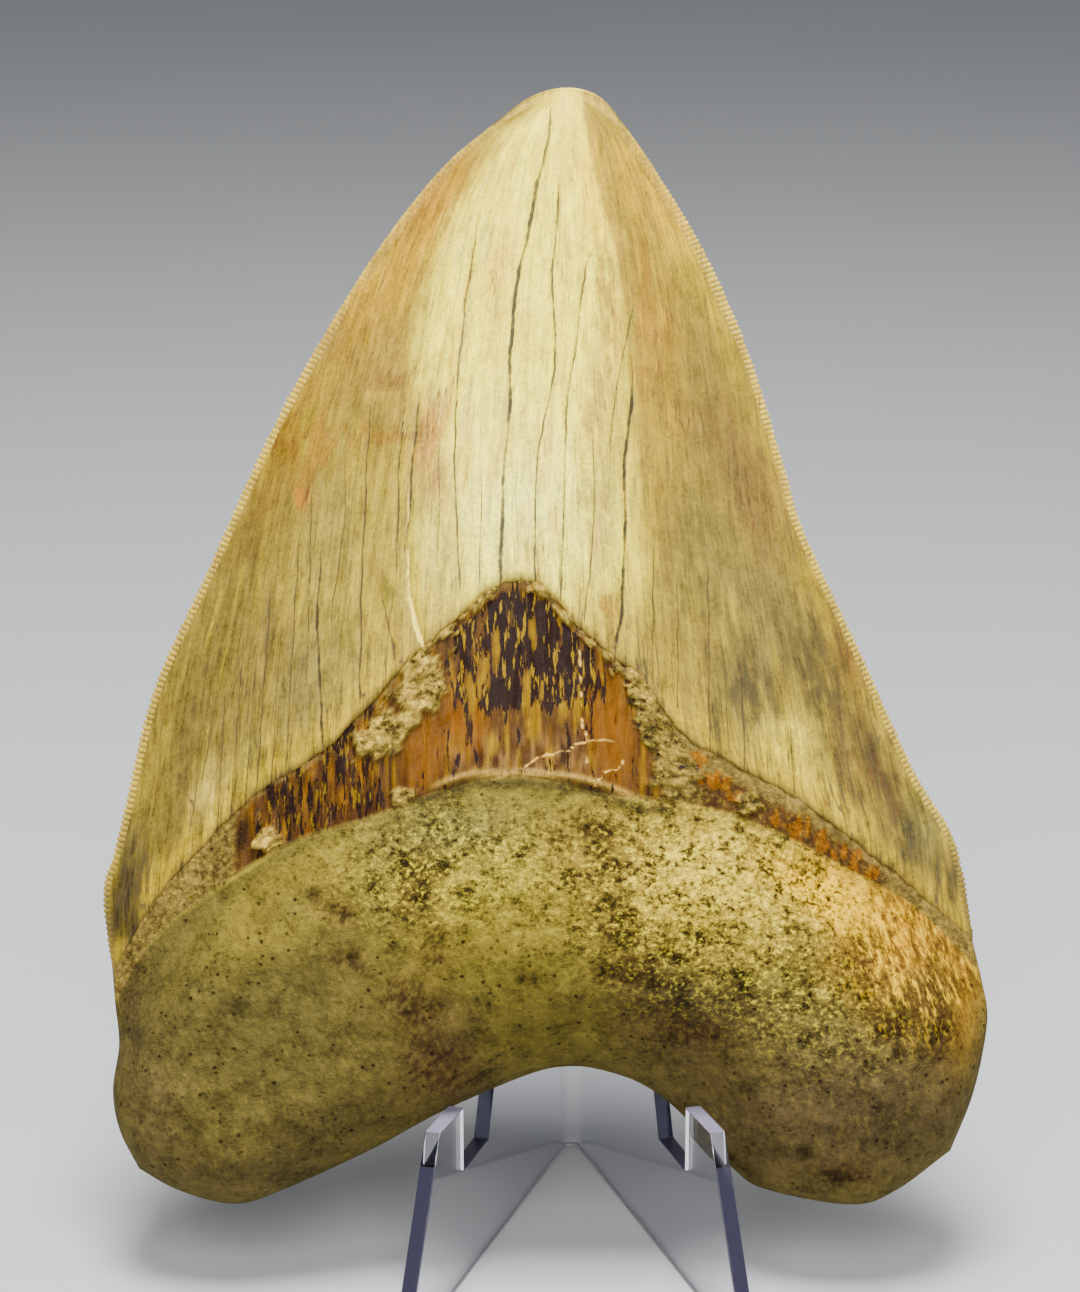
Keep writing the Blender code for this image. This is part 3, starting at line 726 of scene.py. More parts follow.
print("crown stains laid:", len(CROWN_STAINS_AND_PAINTED_LIGHT) + len(LATE_STAINS_AND_PAINTED_LIGHT))

# %% [markdown]
# Shader sums written as Python.
# A Wire stands for a value inside a material. Adding or multiplying wires adds the Math nodes
# for it, so a pattern reads like the formula that it is. Every other node is made by one method.

# %% Wires and recipes
def paint(*rgb):
    """A screen colour as a node's four numbers."""
    return (*screen(*rgb), 1.0)


class Wire:
    """One socket's value, on which ordinary sums can be written."""

    def __init__(self, recipe, socket):
        self.recipe, self.socket = recipe, socket

    def __add__(self, other):
        return self.recipe.math("ADD", self, other)

    def __sub__(self, other):
        return self.recipe.math("SUBTRACT", self, other)

    def __rsub__(self, other):
        return self.recipe.math("SUBTRACT", other, self)

    def __mul__(self, other):
        return self.recipe.math("MULTIPLY", self, other)

    def __abs__(self):
        return self.recipe.math("ABSOLUTE", self)

    __radd__, __rmul__ = __add__, __mul__


class Recipe:
    """A material and the few moves that its patterns are made from."""

    def __init__(self, name):
        self.material = bpy.data.materials.new(name)
        self.material.use_nodes = True
        self.tree = self.material.node_tree
        self.shader = self.tree.nodes["Principled BSDF"]

    def put(self, socket, value):
        if isinstance(value, Wire):
            self.tree.links.new(value.socket, socket)
        else:
            socket.default_value = value

    def node(self, kind, settings=None, inputs=None, out=0):
        """Any node: its kind, its settings, then its inputs by name or number."""
        made = self.tree.nodes.new(kind)
        for key, value in (settings or {}).items():
            setattr(made, key, value)
        for key, value in (inputs or {}).items():
            self.put(made.inputs[key], value)
        return Wire(self, made.outputs[out])

    def math(self, operation, *values):
        return self.node("ShaderNodeMath", {"operation": operation}, dict(enumerate(values)))

    def field(self, name, out="Fac"):
        return self.node("ShaderNodeAttribute", {"attribute_name": name}, out=out)

    def step(self, value, low, high):
        """0 below low and 1 above high, smooth between."""
        return self.node("ShaderNodeMapRange", {"interpolation_type": "SMOOTHSTEP"},
                         {"Value": value, "From Min": low, "From Max": high})

    def stretch(self, vector, scale):
        return self.node("ShaderNodeVectorMath", {"operation": "MULTIPLY"},
                         {0: vector, 1: scale})

    def grain(self, vector, scale, detail=4.0, roughness=0.55, bend=0.0):
        """Noise on a vector in millimetres, scaled by a number for each direction."""
        return self.node("ShaderNodeTexNoise", {"noise_dimensions": "3D"},
                         {"Vector": self.stretch(vector, scale), "Scale": 1.0, "Detail": detail,
                          "Roughness": roughness, "Distortion": bend})

    def cells(self, vector, scale):
        """Distance to the nearest of scattered points."""
        return self.node("ShaderNodeTexVoronoi", {"feature": "F1"},
                         {"Vector": self.stretch(vector, scale), "Scale": 1.0}, out="Distance")

    def mix(self, a, b, share, blend="MIX"):
        return self.node("ShaderNodeMix", {"data_type": "RGBA", "blend_type": blend},
                         {0: share, 6: a, 7: b}, out=2)

    def cover(self, colour, *layers):
        """A colour under (colour, share) layers, one after the other."""
        for over, share in layers:
            colour = self.mix(colour, over, share)
        return colour

    def tone(self, colour, light):
        """A colour made lighter or darker: multiplied by the same number three times."""
        grey = self.node("ShaderNodeCombineColor", {}, {0: light, 1: light, 2: light})
        return self.mix(colour, grey, 1.0, "MULTIPLY")

    def bump(self, relief, distance, strength):
        return self.node("ShaderNodeBump", {},
                         {"Height": relief, "Distance": distance, "Strength": strength})

    def finish(self, **sockets):
        for name, value in sockets.items():
            self.put(self.shader.inputs[name.replace("_", " ")], value)
        return self.material


# %% [markdown]
# Enamel.
# Old enamel is hard and glossy, with fine lines up its height. Its laid colours are carried by
# the mesh. The nodes add streaks, specks and threads, stronger where the surface has
# weathered, the dark or grit-filled cracks, and a polish as uneven as the mottling.

# %% Enamel material
def enamel_material():
    """Laid colour, times streaks, covered by threads, specks, rust and cracks."""
    r = Recipe("fossil_enamel")
    spot = r.field("fan", "Vector")
    streaks = r.grain(spot, (1.3, 0.10, 0.3), 6.0, 0.65)
    hair = r.grain(spot, (4.2, 0.24, 0.6), 4.0, 0.62)
    mottle = r.grain(spot, (0.5, 0.38, 0.4), 6.0, 0.66)
    specks = r.grain(spot, (2.6, 2.2, 2.4), 4.0, 0.66)
    stain = r.grain(spot, (1.9, 0.42, 0.6), 5.0, 0.68)
    seams = r.grain(spot, (0.55, 0.030, 0.2), 2.0, 0.5, 0.25)
    threads = r.grain(spot, (1.15, 0.040, 0.2), 2.0, 0.5, 0.2)
    thread = (r.step(abs(seams - 0.5), 0.011, 0.003) * r.step(mottle, 0.40, 0.56)
              + r.step(abs(threads - 0.5), 0.016, 0.005) * r.step(mottle, 0.60, 0.42) * 0.7)
    worn = r.field("weathered")
    light = (0.98 + (streaks - 0.5) * (1.0 + 1.5 * worn) + (mottle - 0.5) * (1.1 + 0.6 * worn)
             + (hair - 0.5) * (1.0 + 1.0 * worn) + (specks - 0.5) * 1.3)

    split, half, pale = r.field("split"), r.field("split_half"), r.field("split_pale")
    wander = (r.grain(spot, (1.2, 1.6, 1.0), 4.0) - 0.5) * 0.14
    breaks = r.step(r.grain(spot, (0.25, 0.26, 0.2), 4.0, 0.65), 0.36, 0.60)
    gap = half * (0.10 + 1.0 * breaks + 0.7 * r.grain(spot, (1.8, 1.9, 1.0), 4.0))
    gap = gap - abs(split + wander)
    line = r.step(gap, -0.045, 0.035) * r.step(half, 0.0, 0.02)
    shade = r.step(gap, -0.30, 0.05) * r.step(half, 0.0, 0.10)
    ink = r.mix(paint(124, 100, 62), paint(62, 48, 32), r.step(half, 0.04, 0.14))

    colour = r.cover(
        r.tone(r.field("ground", "Color"), light),
        (paint(124, 102, 62), thread * (0.42 + 0.45 * worn)),
        (paint(124, 100, 56), r.step(hair, 0.56, 0.70) * (0.12 + 0.45 * worn)),
        (paint(96, 78, 50), r.step(specks, 0.68, 0.77) * 0.55),
        (paint(142, 84, 34), r.step(stain, 0.50, 0.64) * r.field("rust") * 0.8),
        (paint(164, 136, 84), shade * 0.30),
        (ink, line * (1 - pale) * (0.55 + 0.4 * breaks)),
        (paint(240, 216, 176), line * pale))
    relief = (streaks * 0.5 + hair * 0.35 + specks * 0.4) - line * (1 - pale) * 1.2
    normal = r.bump(relief, 0.00014, 0.6)
    return r.finish(Base_Color=colour, Roughness=0.30 + mottle * 0.28, Normal=normal,
                    Coat_Weight=0.06, Coat_Roughness=0.2, Specular_IOR_Level=0.2)


ENAMEL_FINISH = enamel_material()
print("enamel nodes", len(ENAMEL_FINISH.node_tree.nodes))

# %% [markdown]
# The crown's skin.
# The front and back grids become rings, and one more ring, sunk a millimetre, turns the skin
# inwards along its lower edge. Each pattern goes along as a number or a colour at every point.

# %% Crown mesh
def under(grid_row, depth):
    """The row just inside an edge: the same line, sunk by a depth towards the middle."""
    row = grid_row.copy()
    row[:, 2] -= depth * np.sign(row[:, 2] + 1e-9) * ease(np.abs(row[:, 2]) / 1.5)
    return row[None]


rings = shell(np.concatenate([under(crown_face[0], 1.0), crown_face]),
              np.concatenate([under(crown_rear[0], 0.8), crown_rear]))
spots = rings.reshape(-1, 3)


def crown_field(front_values, back_values):
    """A field for every ring point, with the sunk row given its neighbour's values."""
    return shell_field(*(np.concatenate([values[:1], values])
                         for values in (front_values, back_values)))


near_line = 1 - ease((v - chipped(u)) / 9)
low_crown = np.clip(0.25 + 0.45 * ease((84 - v) / 25) + 0.5 * near_line, 0, 1)
low_crown = low_crown * ease((np.abs(cross_position(u, v) + 0.12) - 0.06) / 0.35 + 0.3)
crown_fields = {
    "ground": crown_field(ground, rear_ground),
    "split": crown_field(split, bu * 0 + 9.0),
    "split_half": crown_field(half, bu * 0),
    "split_pale": crown_field(pale, bu * 0),
    "rust": crown_field(rust, bu * 0),
    "fan": np.column_stack([fanned(spots[:, 0], spots[:, 1]), spots[:, 1:]]),
    "weathered": crown_field(low_crown, bu * 0 + 0.3),
}
make_piece("crown_enamel", placed(spots), ring_faces(*rings.shape[:2], CROWN_COLUMNS + 1),
           crown_fields, "tooth", ENAMEL_FINISH)

# %% [markdown]
# The root and the dark band.
# Below the enamel lies the bourlette, a band of dentine with dark and amber fibres, half
# hidden by crumbs of stone. The root under it is porous bone: granular, pitted, fibrous at
# the right. One grid carries both, a little finer than the crown's, and tucks under the enamel.

# %% Root and band points
ROOT_COLUMNS = 300
ROOT_ROWS, BAND_ROWS, TUCK_ROWS = 92, 64, 3
CRUMBS = [((-17.9, 61.0), (3.6, 4.6), -20), ((-22.8, 55.2), (3.8, 2.6), 30),
          ((10.4, 55.5), (2.0, 5.5), 30), ((12.5, 50.5), (3.2, 3.2), 0),
          ((-20.0, 48.2), (1.6, 1.5), 0), ((21.0, 47.6), (2.0, 1.5), 0),
          ((8.6, 60.4), (1.8, 1.6), 40), ((-36.0, 43.2), (2.2, 1.6), 30)]
PEAK = (-6.2, 71.0)  # a brown stone at the top of the band
LIP_LINE = [(-17.5, 49.0), (-12.5, 50.7), (-8.4, 51.0), (-3.7, 51.0), (2.2, 50.1), (8.1, 48.0)]
PITS = [((25.9, 32.5), 0.9), ((27.3, 6.4), 1.0), ((31.8, 3.4), 1.3), ((-30.1, 36.4), 0.9),
        ((-25.6, 29.3), 0.8), ((43.6, 20.5), 1.0), ((38.4, 18.0), 0.7), ((20.5, 14.0), 0.8),
        ((10.8, 30.2), 0.7), ((-6.0, 27.0), 0.6), ((34.6, 24.8), 0.6)]
RIDGE = [(-53.6, 26.5), (-50.5, 31.0), (-45.5, 35.2), (-40.0, 38.8), (-35.5, 41.4)]


def root_grid(root_line, enamel_line, bitten):
    """Rows (u, v) from the base to the root's top, on to the enamel, and a little past."""
    even = np.linspace(0, 1, ROOT_COLUMNS + 1)
    s = 0.6 * even + 0.4 * (0.5 - 0.5 * np.cos(np.pi * even))
    top = across(enamel_line, s)
    if bitten:
        top[:, 1] = chipped(top[:, 0])
    t = np.linspace(0, 1, ROOT_ROWS + 1)**1.25
    low = patch(across(BASE, s), across(root_line, s), along(ROOT_LEFT, t),
                along(ROOT_RIGHT, t), s, t)
    t = np.linspace(0, 1, BAND_ROWS + 1)
    band = patch(across(root_line, s), top, along(SEAM_LEFT, t), along(SEAM_RIGHT, t), s, t)
    tuck = [top + np.array([0, 0.5 * k])[None] for k in range(1, TUCK_ROWS + 1)]
    return np.concatenate([low, band[1:], np.array(tuck)])


# %% [markdown]
# Relief of the band and the root.
# Fibres, broken steps, crumbs, grains and pits are all heights added to the smooth form. What
# stands out here catches the light for real, and shows in the mesh as well as in a picture.

# %% Relief
def crumb_mask(u, v):
    """How far each point is covered by stone crumbs: blobs with uneven edges."""
    cover = blobs(u, v, CRUMBS, 3.0)
    width = 1.5 + 0.9 * ease((u - 1) / 4) + 2.2 * rough(u / 2.4, v / 2.4, 83)
    rim = ease((width - (chipped(u) - v)) / 0.8) * span(u, -20, 12, 3)
    cover = cover + rim * (0.62 + 0.8 * noise(u / 1.3, v / 1.3, 82))
    cover = cover - 1.2 * blob(u, v, PEAK, (2.0, 1.6), 0, 4)
    return ease((cover + 0.75 * rough(u / 1.8, v / 1.8, 81) - 0.42) / 0.25)


def band_relief(u, v, crumbs):
    """The band: fibres up the tooth, broken steps, crumbs of stone standing on it, and the
    thin lip along its lower edge."""
    fibres = 0.16 * noise(u / 0.9, v / 7, 91) + 0.10 * noise(u / 0.45, v / 3.5, 92)
    steps = 0.16 * ease(3 * rough(u / 2.2, v / 4.0, 93))
    stone = crumbs * (0.62 + 1.1 * rough(u / 1.7, v / 1.5, 94) + 0.35 * rough(u / 0.6, v / 0.6, 95))
    lip = v - height(LIP_LINE, u)
    ledge = ((0.50 + 0.3 * noise(u / 0.9, v * 0, 96)) * falloff(lip, 0.36)
             - 0.75 * falloff(lip + 1.15, 0.55))
    return fibres + steps + stone + span(u, -17.5, 9, 3) * ledge


def gritty(u, v):
    """How coarse the bone is: full in the pale middle right, less elsewhere."""
    coarse = blob(u, v, (16, 36), (19, 12), -12, 3) + 0.7 * blob(u, v, (-16, 40), (12, 8), 10, 3)
    coarse = coarse + 0.45 * blob(u, v, (32, 22), (11, 7), 0, 3)
    return np.clip(0.16 + coarse, 0, 1)


def pit_mask(u, v, uneven=1.0):
    """1 in the middle of each pit, and 0 from one and a half times its size."""
    return np.max([ease(1.5 - np.hypot(u - a, v - b) / size * uneven) for (a, b), size in PITS],
                  axis=0)


def root_relief(u, v):
    """The root: grains, flakes in the middle, fibres bent round the right lobe, a ridge on
    the left, and pits as steep-sided bowls."""
    grit = gritty(u, v)
    grains = (0.10 + 0.34 * grit) * rough(u / 1.5, v / 1.2, 101, 3, 0.7)
    lumps = 0.42 * rough(u / 3.6, v / 3.2, 104)
    middle = blob(u, v, (0, 36), (28, 11), 0, 3)
    flakes = middle * 0.42 * np.abs(rough(u / 2.8, v / 1.4, 107))**0.7
    bent_u = u - 28 + 0.02 * (v - 30)**2
    fibres = blob(u, v, (40, 30), (12, 10), -30, 3) * 0.30 * noise(bent_u / 0.9, v / 6, 108)
    slant = blob(u, v, (-36, 18), (17, 15), 0, 3) * 0.12 * noise((u + v) / 1.0, (v - u) / 4, 110)
    holes = pit_mask(u, v, 1 + 0.5 * noise(u * 1.3, v * 1.3, 109))
    small = 1 - ease(nearest(u / 1.9, v / 1.9, 111, 0.5) / 0.26)
    off = v - height(RIDGE, u)
    left = 0.55 * falloff(off, 0.7) * span(u, -55, -34, 3)
    return grains + lumps + slant - flakes + fibres - 0.6 * holes - 0.35 * small * grit + left


# %% [markdown]
# The root's two faces.
# Over thirteen millimetres the band's form passes into the root's, and the last rows slip
# under the enamel, so no gap can open between the two pieces.

# %% Root and band faces
front_uv = root_grid(ROOT_TOP, ENAMEL, True)
back_uv = root_grid(BACK_ROOT, BACK_ENAMEL, False)
u, v = front_uv[..., 0], front_uv[..., 1]
crumbs = crumb_mask(u, v)
under_top = height(ROOT_TOP, u) - v
x = cross_position(u, v)
band_form = crown_front(u, v) - STEP * ease((chipped(u) - v) / 0.25 + 1) * (1 - x**6)
band_share = ease(-under_top / 0.6 + 0.5)
w = band_form * (1 - ease(under_top / 13)) + root_front(u, v) * ease(under_top / 13)
w = w + LIP * ease(under_top / 1.2) * np.exp(-np.clip(under_top, 0, 99) / 7) * (1 - x**6)
rim_fade = ease((1 - np.abs(x)) / 0.04) * ease((v - height(BASE, u)) / 1.5)
w = w + rim_fade * (band_share * band_relief(u, v, crumbs)
                    + (1 - band_share) * root_relief(u, v))
w = np.maximum(w, 0.04)
for k in range(1, TUCK_ROWS + 1):
    w[-k] = np.maximum(crown_front(u[-k], v[-k]) - 1.0, 0.03)
w[:, [0, -1]] = 0.0
root_face = np.dstack([u, v, w])

bu, bv = back_uv[..., 0], back_uv[..., 1]
share = ease((height(BACK_ENAMEL, bu) - bv) / 10)
bw = crown_back(bu, bv) * (1 - share) + root_back(bu, bv) * share
low_back = ease((height(BACK_ENAMEL, bu) - bv) / 0.3)
bw = bw + 0.25 * low_back * (1 - np.abs(cross_position(bu, bv))**6)
between = ease((np.abs(bu) - 13) / 4)
grains = (0.06 + 0.14 * between) * rough(bu / 1.3, bv / 1.3, 121)
bw = bw + grains * ease((bv - height(BASE, bu)) / 1.5)
bw = np.minimum(bw, -0.04)
for k in range(1, TUCK_ROWS + 1):
    bw[-k] = np.minimum(crown_back(bu[-k], bv[-k]) + 0.9, -0.03)
bw[:, [0, -1]] = 0.0
root_rear = np.dstack([bu, bv, bw])
print("root grid", root_face.shape, "front up to", round(float(w.max()), 2), "mm")

# %% [markdown]
# Stains of the root and the band.
# Bone takes up minerals unevenly: broad stains first, then dark ones that break into specks.
# The band's fibres are noise drawn out along the tooth, and its gold and orange marks, its
# pale threads and the crumbs of stone lie where this tooth has them.

# %% Root and band stains
ROOT_STAINS = [
    # at, spread, turn, colour, strength
    ((-38.0, 22.0), (17.0, 18.0), 20, (134, 117, 59), 0.95),  # olive tan left lobe
    ((-33.0, 36.5), (11.0, 4.5), 35, (185, 164, 90), 0.8),  # paler along its top
    ((-8.0, 37.0), (15.0, 12.0), 0, (184, 164, 92), 0.9),  # yellow middle
    ((-14.0, 44.5), (9.0, 3.2), 6, (160, 146, 92), 0.7),
    ((-3.0, 22.0), (14.0, 6.5), 0, (139, 120, 49), 0.9),  # olive gold over the arch
    ((16.0, 38.0), (15.0, 9.0), -14, (206, 184, 120), 0.95),  # pale granular
    ((38.5, 32.0), (8.0, 7.0), -38, (214, 174, 84), 0.95),  # golden fibres
    ((46.0, 25.0), (3.2, 9.0), 0, (193, 151, 66), 0.8),
    ((27.0, 9.5), (20.0, 9.0), 0, (126, 103, 62), 0.95),  # brown right lobe
    ((37.0, 13.0), (12.0, 7.0), 0, (118, 95, 58), 0.8),
    ((14.0, 18.5), (8.0, 5.0), -20, (118, 95, 50), 0.8),
    ((-49.5, 11.0), (4.5, 9.0), 0, (136, 114, 70), 0.7),
    ((-40.0, 3.2), (13.0, 4.0), 0, (118, 97, 55), 0.75),  # brown underside
    ((-28.0, 9.0), (10.0, 4.0), 24, (115, 94, 50), 0.6),
    ((-52.8, 24.0), (2.4, 8.0), 0, (111, 90, 49), 0.6),
    ((-15.0, 19.0), (4.5, 6.0), -20, (101, 78, 41), 0.75),  # brown stains
    ((-12.0, 12.6), (4.0, 3.2), 24, (101, 75, 41), 0.7),
    ((9.0, 25.0), (5.5, 4.5), 0, (104, 80, 41), 0.6),
    ((15.6, 23.8), (7.5, 4.2), -15, (99, 80, 41), 0.85),
    ((3.5, 41.0), (5.0, 3.6), 0, (144, 114, 50), 0.7),
    ((-32.7, 35.6), (6.0, 3.0), 30, (146, 126, 67), 0.65),
    ((33.7, 29.9), (4.0, 5.0), 0, (150, 117, 46), 0.75),
    ((42.6, 23.8), (3.6, 6.5), 0, (134, 108, 50), 0.75),
    ((30.0, 37.4), (6.5, 3.2), -30, (232, 204, 124), 1.0),
    ((35.0, 9.0), (7.0, 4.5), 0, (98, 79, 42), 0.6),
]
DARK_STAINS = [((-18.0, 38.0), (2.6, 4.8), -8), ((-15.6, 31.0), (2.2, 3.0), 0),
               ((-27.6, 34.8), (2.6, 2.2), -30), ((-25.4, 28.6), (3.0, 1.6), -20),
               ((-19.0, 24.0), (4.5, 3.5), 0), ((-16.0, 16.5), (5.0, 4.5), 0),
               ((2.0, 44.0), (5.6, 2.2), -6), ((5.0, 34.0), (4.0, 4.6), 20),
               ((6.5, 27.5), (4.0, 2.0), 0), ((43.4, 21.5), (2.2, 5.5), 0),
               ((34.5, 28.0), (1.6, 5.0), 15), ((38.0, 21.0), (3.0, 2.2), 0),
               ((14.0, 21.0), (6.0, 2.4), -10), ((32.0, 4.0), (3.2, 1.8), 0),
               ((28.0, 40.0), (5.0, 1.6), -22)]
VEINS = [[(0.8, 65.6), (1.3, 62.0), (1.1, 58.0), (1.9, 54.6), (1.7, 51.5)],
         [(-5.2, 51.8), (-3.4, 53.0), (-1.0, 53.6), (2.2, 54.8), (5.0, 54.9)],
         [(2.8, 49.6), (3.9, 50.9), (5.6, 51.6), (6.4, 52.9)]]
ORANGE_SPOTS = [((24.6, 45.6), (0.8, 1.3)), ((27.0, 44.6), (1.2, 1.6)), ((29.8, 42.6), (0.7, 1.6)),
                ((32.0, 41.8), (0.8, 1.1)), ((33.8, 40.6), (0.8, 1.3)), ((17.0, 50.2), (2.2, 1.0)),
                ((15.0, 52.4), (1.0, 1.2)), ((19.6, 48.4), (1.1, 0.8)), ((36.0, 39.4), (0.7, 0.8))]


# %% [markdown]
# Laying the root's colours.
# The same way as on the crown, with speckled noise in place of the growth lines.

# %% Root colours
def root_ground(u, v):
    """Base colour of the root: broad stains, a painted highlight along the ridge with its
    painted shadow, and dark stains broken into specks."""
    ju, jv = u + 1.6 * rough(u / 6, v / 6, 131), v + 1.6 * rough(u / 6, v / 6, 135)
    ground = lay_stains_and_painted_light(one_colour(u, (150, 131, 70)), ROOT_STAINS, ju, jv, 2.6)
    off = v - height(RIDGE, u) - 0.3 * rough(u / 2, v / 2, 133)
    beside = span(u, -54, -34, 3)
    dark = blobs(ju, jv, DARK_STAINS, 2.4)
    some = np.clip(dark, 0, 1)
    specks = ease(2.0 * rough(u / 0.75, v / 0.9, 141) + 1.15 * some - 0.55)
    # A pale line along the ridge, a painted highlight, and the painted shadow above it.
    return lay_all(ground, (0.6 * beside * falloff(off, 0.45), (196, 178, 112)),
                   (0.5 * beside * ease(off / 0.5) * ease((3.5 - off) / 1.5), (120, 100, 54)),
                   (0.30 * some, (140, 100, 48)),
                   (0.85 * specks * np.clip(dark * 1.4, 0, 1), (70, 42, 20)))


# %% [markdown]
# Laying the band's colours.
# Two fields say where the dark ink and the pale threads are, and the material sharpens them.
# The golden streaks are laid here, with the ground under all of it.

# %% Band colours
GOLD_STREAKS = [((-8.8, 66.4), (0.45, 2.5), -2), ((-10.4, 62.2), (0.60, 2.7), -3),
                ((-4.6, 67.6), (0.40, 2.0), 6), ((-5.2, 61.2), (0.50, 1.9), 0),
                ((-3.5, 60.8), (0.35, 1.6), 0), ((-11.8, 60.4), (0.55, 2.4), 4),
                ((-1.0, 58.6), (0.45, 1.5), 0), ((0.6, 58.4), (0.40, 1.4), 0),
                ((-4.6, 57.0), (0.80, 2.2), 0), ((-9.3, 54.4), (0.80, 1.1), 0)]


def gold_mask(u, v):
    """Where the few large golden streaks lie, with frayed edges."""
    fray = 1 + 0.7 * noise(u / 0.5, v / 1.1, 164)
    return np.clip(blobs(u, v, GOLD_STREAKS, 3.0) * fray, 0, 1)


def ink_field(u, v, crumbs):
    """How much of the band is dark streaks: most of the core, some of the rest."""
    core = (span(u, -15, 5.6, 2.0, 1.8) * ease((v - 56.4) / 3.6)
            * ease((chipped(u) - 0.8 - v) / 1.0))
    core = core * (0.86 + 0.14 * blob(u, v, (-4, 64), (4.5, 7), 0, 3))
    low = 0.36 * span(u, -20, 10, 3) * (1 - core)
    left, right = 0.62 * span(u, -38.5, -21, 1.5, 2), 0.42 * span(u, 13, 40, 2)
    orange = 1 - 0.6 * blob(u, v, (4.8, 57.0), (2.2, 6.0), 8, 5)
    return (core + low + left + right) * orange * (1 - crumbs) * (1 - gold_mask(u, v))


def vein_field(u, v):
    """Thin pale threads that cross the band: exp(-(distance / width)^2) from each line."""
    wobble = [0.25 * noise(v / 1.4, u / 1.4, 168), 0.25 * noise(u / 1.4, v / 1.4, 169)]
    total = np.zeros(u.shape)
    for line in VEINS:
        points = smooth(line, 6)
        for a, b in zip(points[:-1], points[1:]):
            du, dv = from_segment(u, v, a, b)
            total = np.maximum(total, falloff(np.hypot(du + wobble[0], dv + wobble[1]), 0.17))
    return total


def band_ground(u, v, crumbs):
    """Colour of the band: amber fibres, pinkish and yellow ones low in the middle, amber and
    orange patches, the large golden streaks, tan grit on the right and at the far left with
    a brown strip and orange spots, a pale crumbly rim, and stone crumbs on top, painted lighter
    where they stand higher."""
    fibre = noise(u / 0.8, v / 8, 151) + 0.6 * noise(u / 0.4, v / 4, 152)
    pink = blob(u, v, (-6, 53.0), (11, 2.8), -4, 4)
    left = span(u, -39.5, -22, 1.5, 2)
    seam, rim = height(ROOT_TOP, u), chipped(u)
    ground = lay_all(
        one_colour(u, (132, 84, 20)),
        (0.9 * ease(1.6 * fibre - 0.15), (184, 142, 30)),
        (0.8 * ease(-1.8 * fibre - 0.30), (64, 34, 16)),
        (0.7 * pink * ease(1.8 * noise(u / 0.7, v / 3, 153) + 0.2), (188, 152, 104)),
        (0.8 * pink * ease(2.2 * noise(u / 0.9, v / 5, 162) - 0.2), (196, 164, 60)),
        (0.7 * blob(u, v, (-12.5, 57.5), (2.6, 4.5), 6, 4), (186, 124, 14)),
        (blob(u, v, (4.6, 56.0), (2.7, 7.2), 8, 5), (172, 114, 4)),
        (0.6 * blob(u, v, (5.0, 52.0), (1.4, 4.0), 0, 3) * ease(2 * fibre), (124, 72, 14)),
        (0.85 * blob(u, v, (-17.2, 53.5), (2.4, 4.6), -12, 4), (172, 114, 20)),
        (0.9 * left, (122, 74, 10)),
        (0.85 * left * ease(2.2 * noise(u / 1.6, v / 5, 165) - 0.1), (190, 138, 18)),
        (0.6 * left * ease((seam + 2.6 - v) / 2), (116, 66, 12)),
        (0.9 * blob(u, v, (-39.2, 43.6), (0.8, 2.2), -10, 4), (48, 24, 12)),
        (0.9 * gold_mask(u, v), (192, 156, 44)))

    grit = np.clip(ease((-39.5 - u) / 1.5) + ease((u - 9.5) / 3), 0, 1)
    grit = (grit * ease(0.9 + 0.5 * rough(u / 1.2, v / 1.2, 157)))[..., None]
    sand = screen(178, 154, 98) * (0.78 + 0.6 * rough(u / 0.6, v / 0.6, 166)[..., None])
    ground = ground * (1 - grit) + sand * grit
    strip = span(u, 14, 38.5, 2) * ease((0.62 * (rim - seam) - (v - seam)) / 0.7 + 0.5)
    strip = strip * ease(1.1 + 1.2 * rough(u / 1.5, v / 1.5, 158))
    ground = lay(ground, 0.9 * strip, (110, 62, 20))
    for at, spread in ORANGE_SPOTS:
        spot = blob(u, v, at, (1.25 * spread[0], 1.25 * spread[1]), -14, 3)
        spot = spot * (0.75 + 1.3 * noise(u / 0.7, v / 1.8, 159))
        ground = lay(ground, ease((spot - 0.3) / 0.3), (180, 120, 6))
    crumbly = 1 - ease(rim - v - 0.15 + 0.5 * rough(u / 0.9, v / 0.9, 159))
    ground = lay_all(ground, (0.9 * blob(u, v, PEAK, (2.3, 1.9), 0, 4), (122, 88, 30)),
                     (0.8 * crumbly * ease(0.6 + rough(u, v, 160)), (184, 160, 108)))

    # The crumbs' tone uses the same noise as their relief, so each is lighter where it stands
    # higher: painted light and shade.
    tone = 0.75 * rough(u / 1.7, v / 1.5, 94) + 0.45 * rough(u / 0.6, v / 0.6, 161)
    dim = 1 - 0.4 * ease((u - 6) / 4)
    stone = screen(200, 177, 122) * (0.85 + 1.7 * tone[..., None]) * dim[..., None]
    mask = crumbs[..., None]
    return ground * (1 - mask) + np.clip(stone, 0.02, 0.9) * mask


mask = band_share[..., None]
ground = root_ground(u, v) * (1 - mask) + band_ground(u, v, crumbs) * mask
lip = v - height(LIP_LINE, u)
holes = pit_mask(u, v) * ease(0.75 + 0.9 * rough(u / 0.7, v / 0.7, 163))
# A cream line along the lip, a painted shadow in the groove under it, and darker pits.
ground = lay_all(ground, (0.9 * span(u, -17.5, 9, 3) * falloff(lip, 0.42), (206, 180, 128)),
                 (0.8 * span(u, -20, 14, 3) * falloff(lip + 1.3, 0.7), (58, 48, 28)),
                 (0.75 * holes * (1 - band_share), (62, 44, 24)))
rear_ground = root_ground(bu, bv)
rear_ground = 0.5 * rear_ground + 0.45 * rear_ground.mean(-1, keepdims=True)
print("root stains laid:", len(ROOT_STAINS) + len(DARK_STAINS))

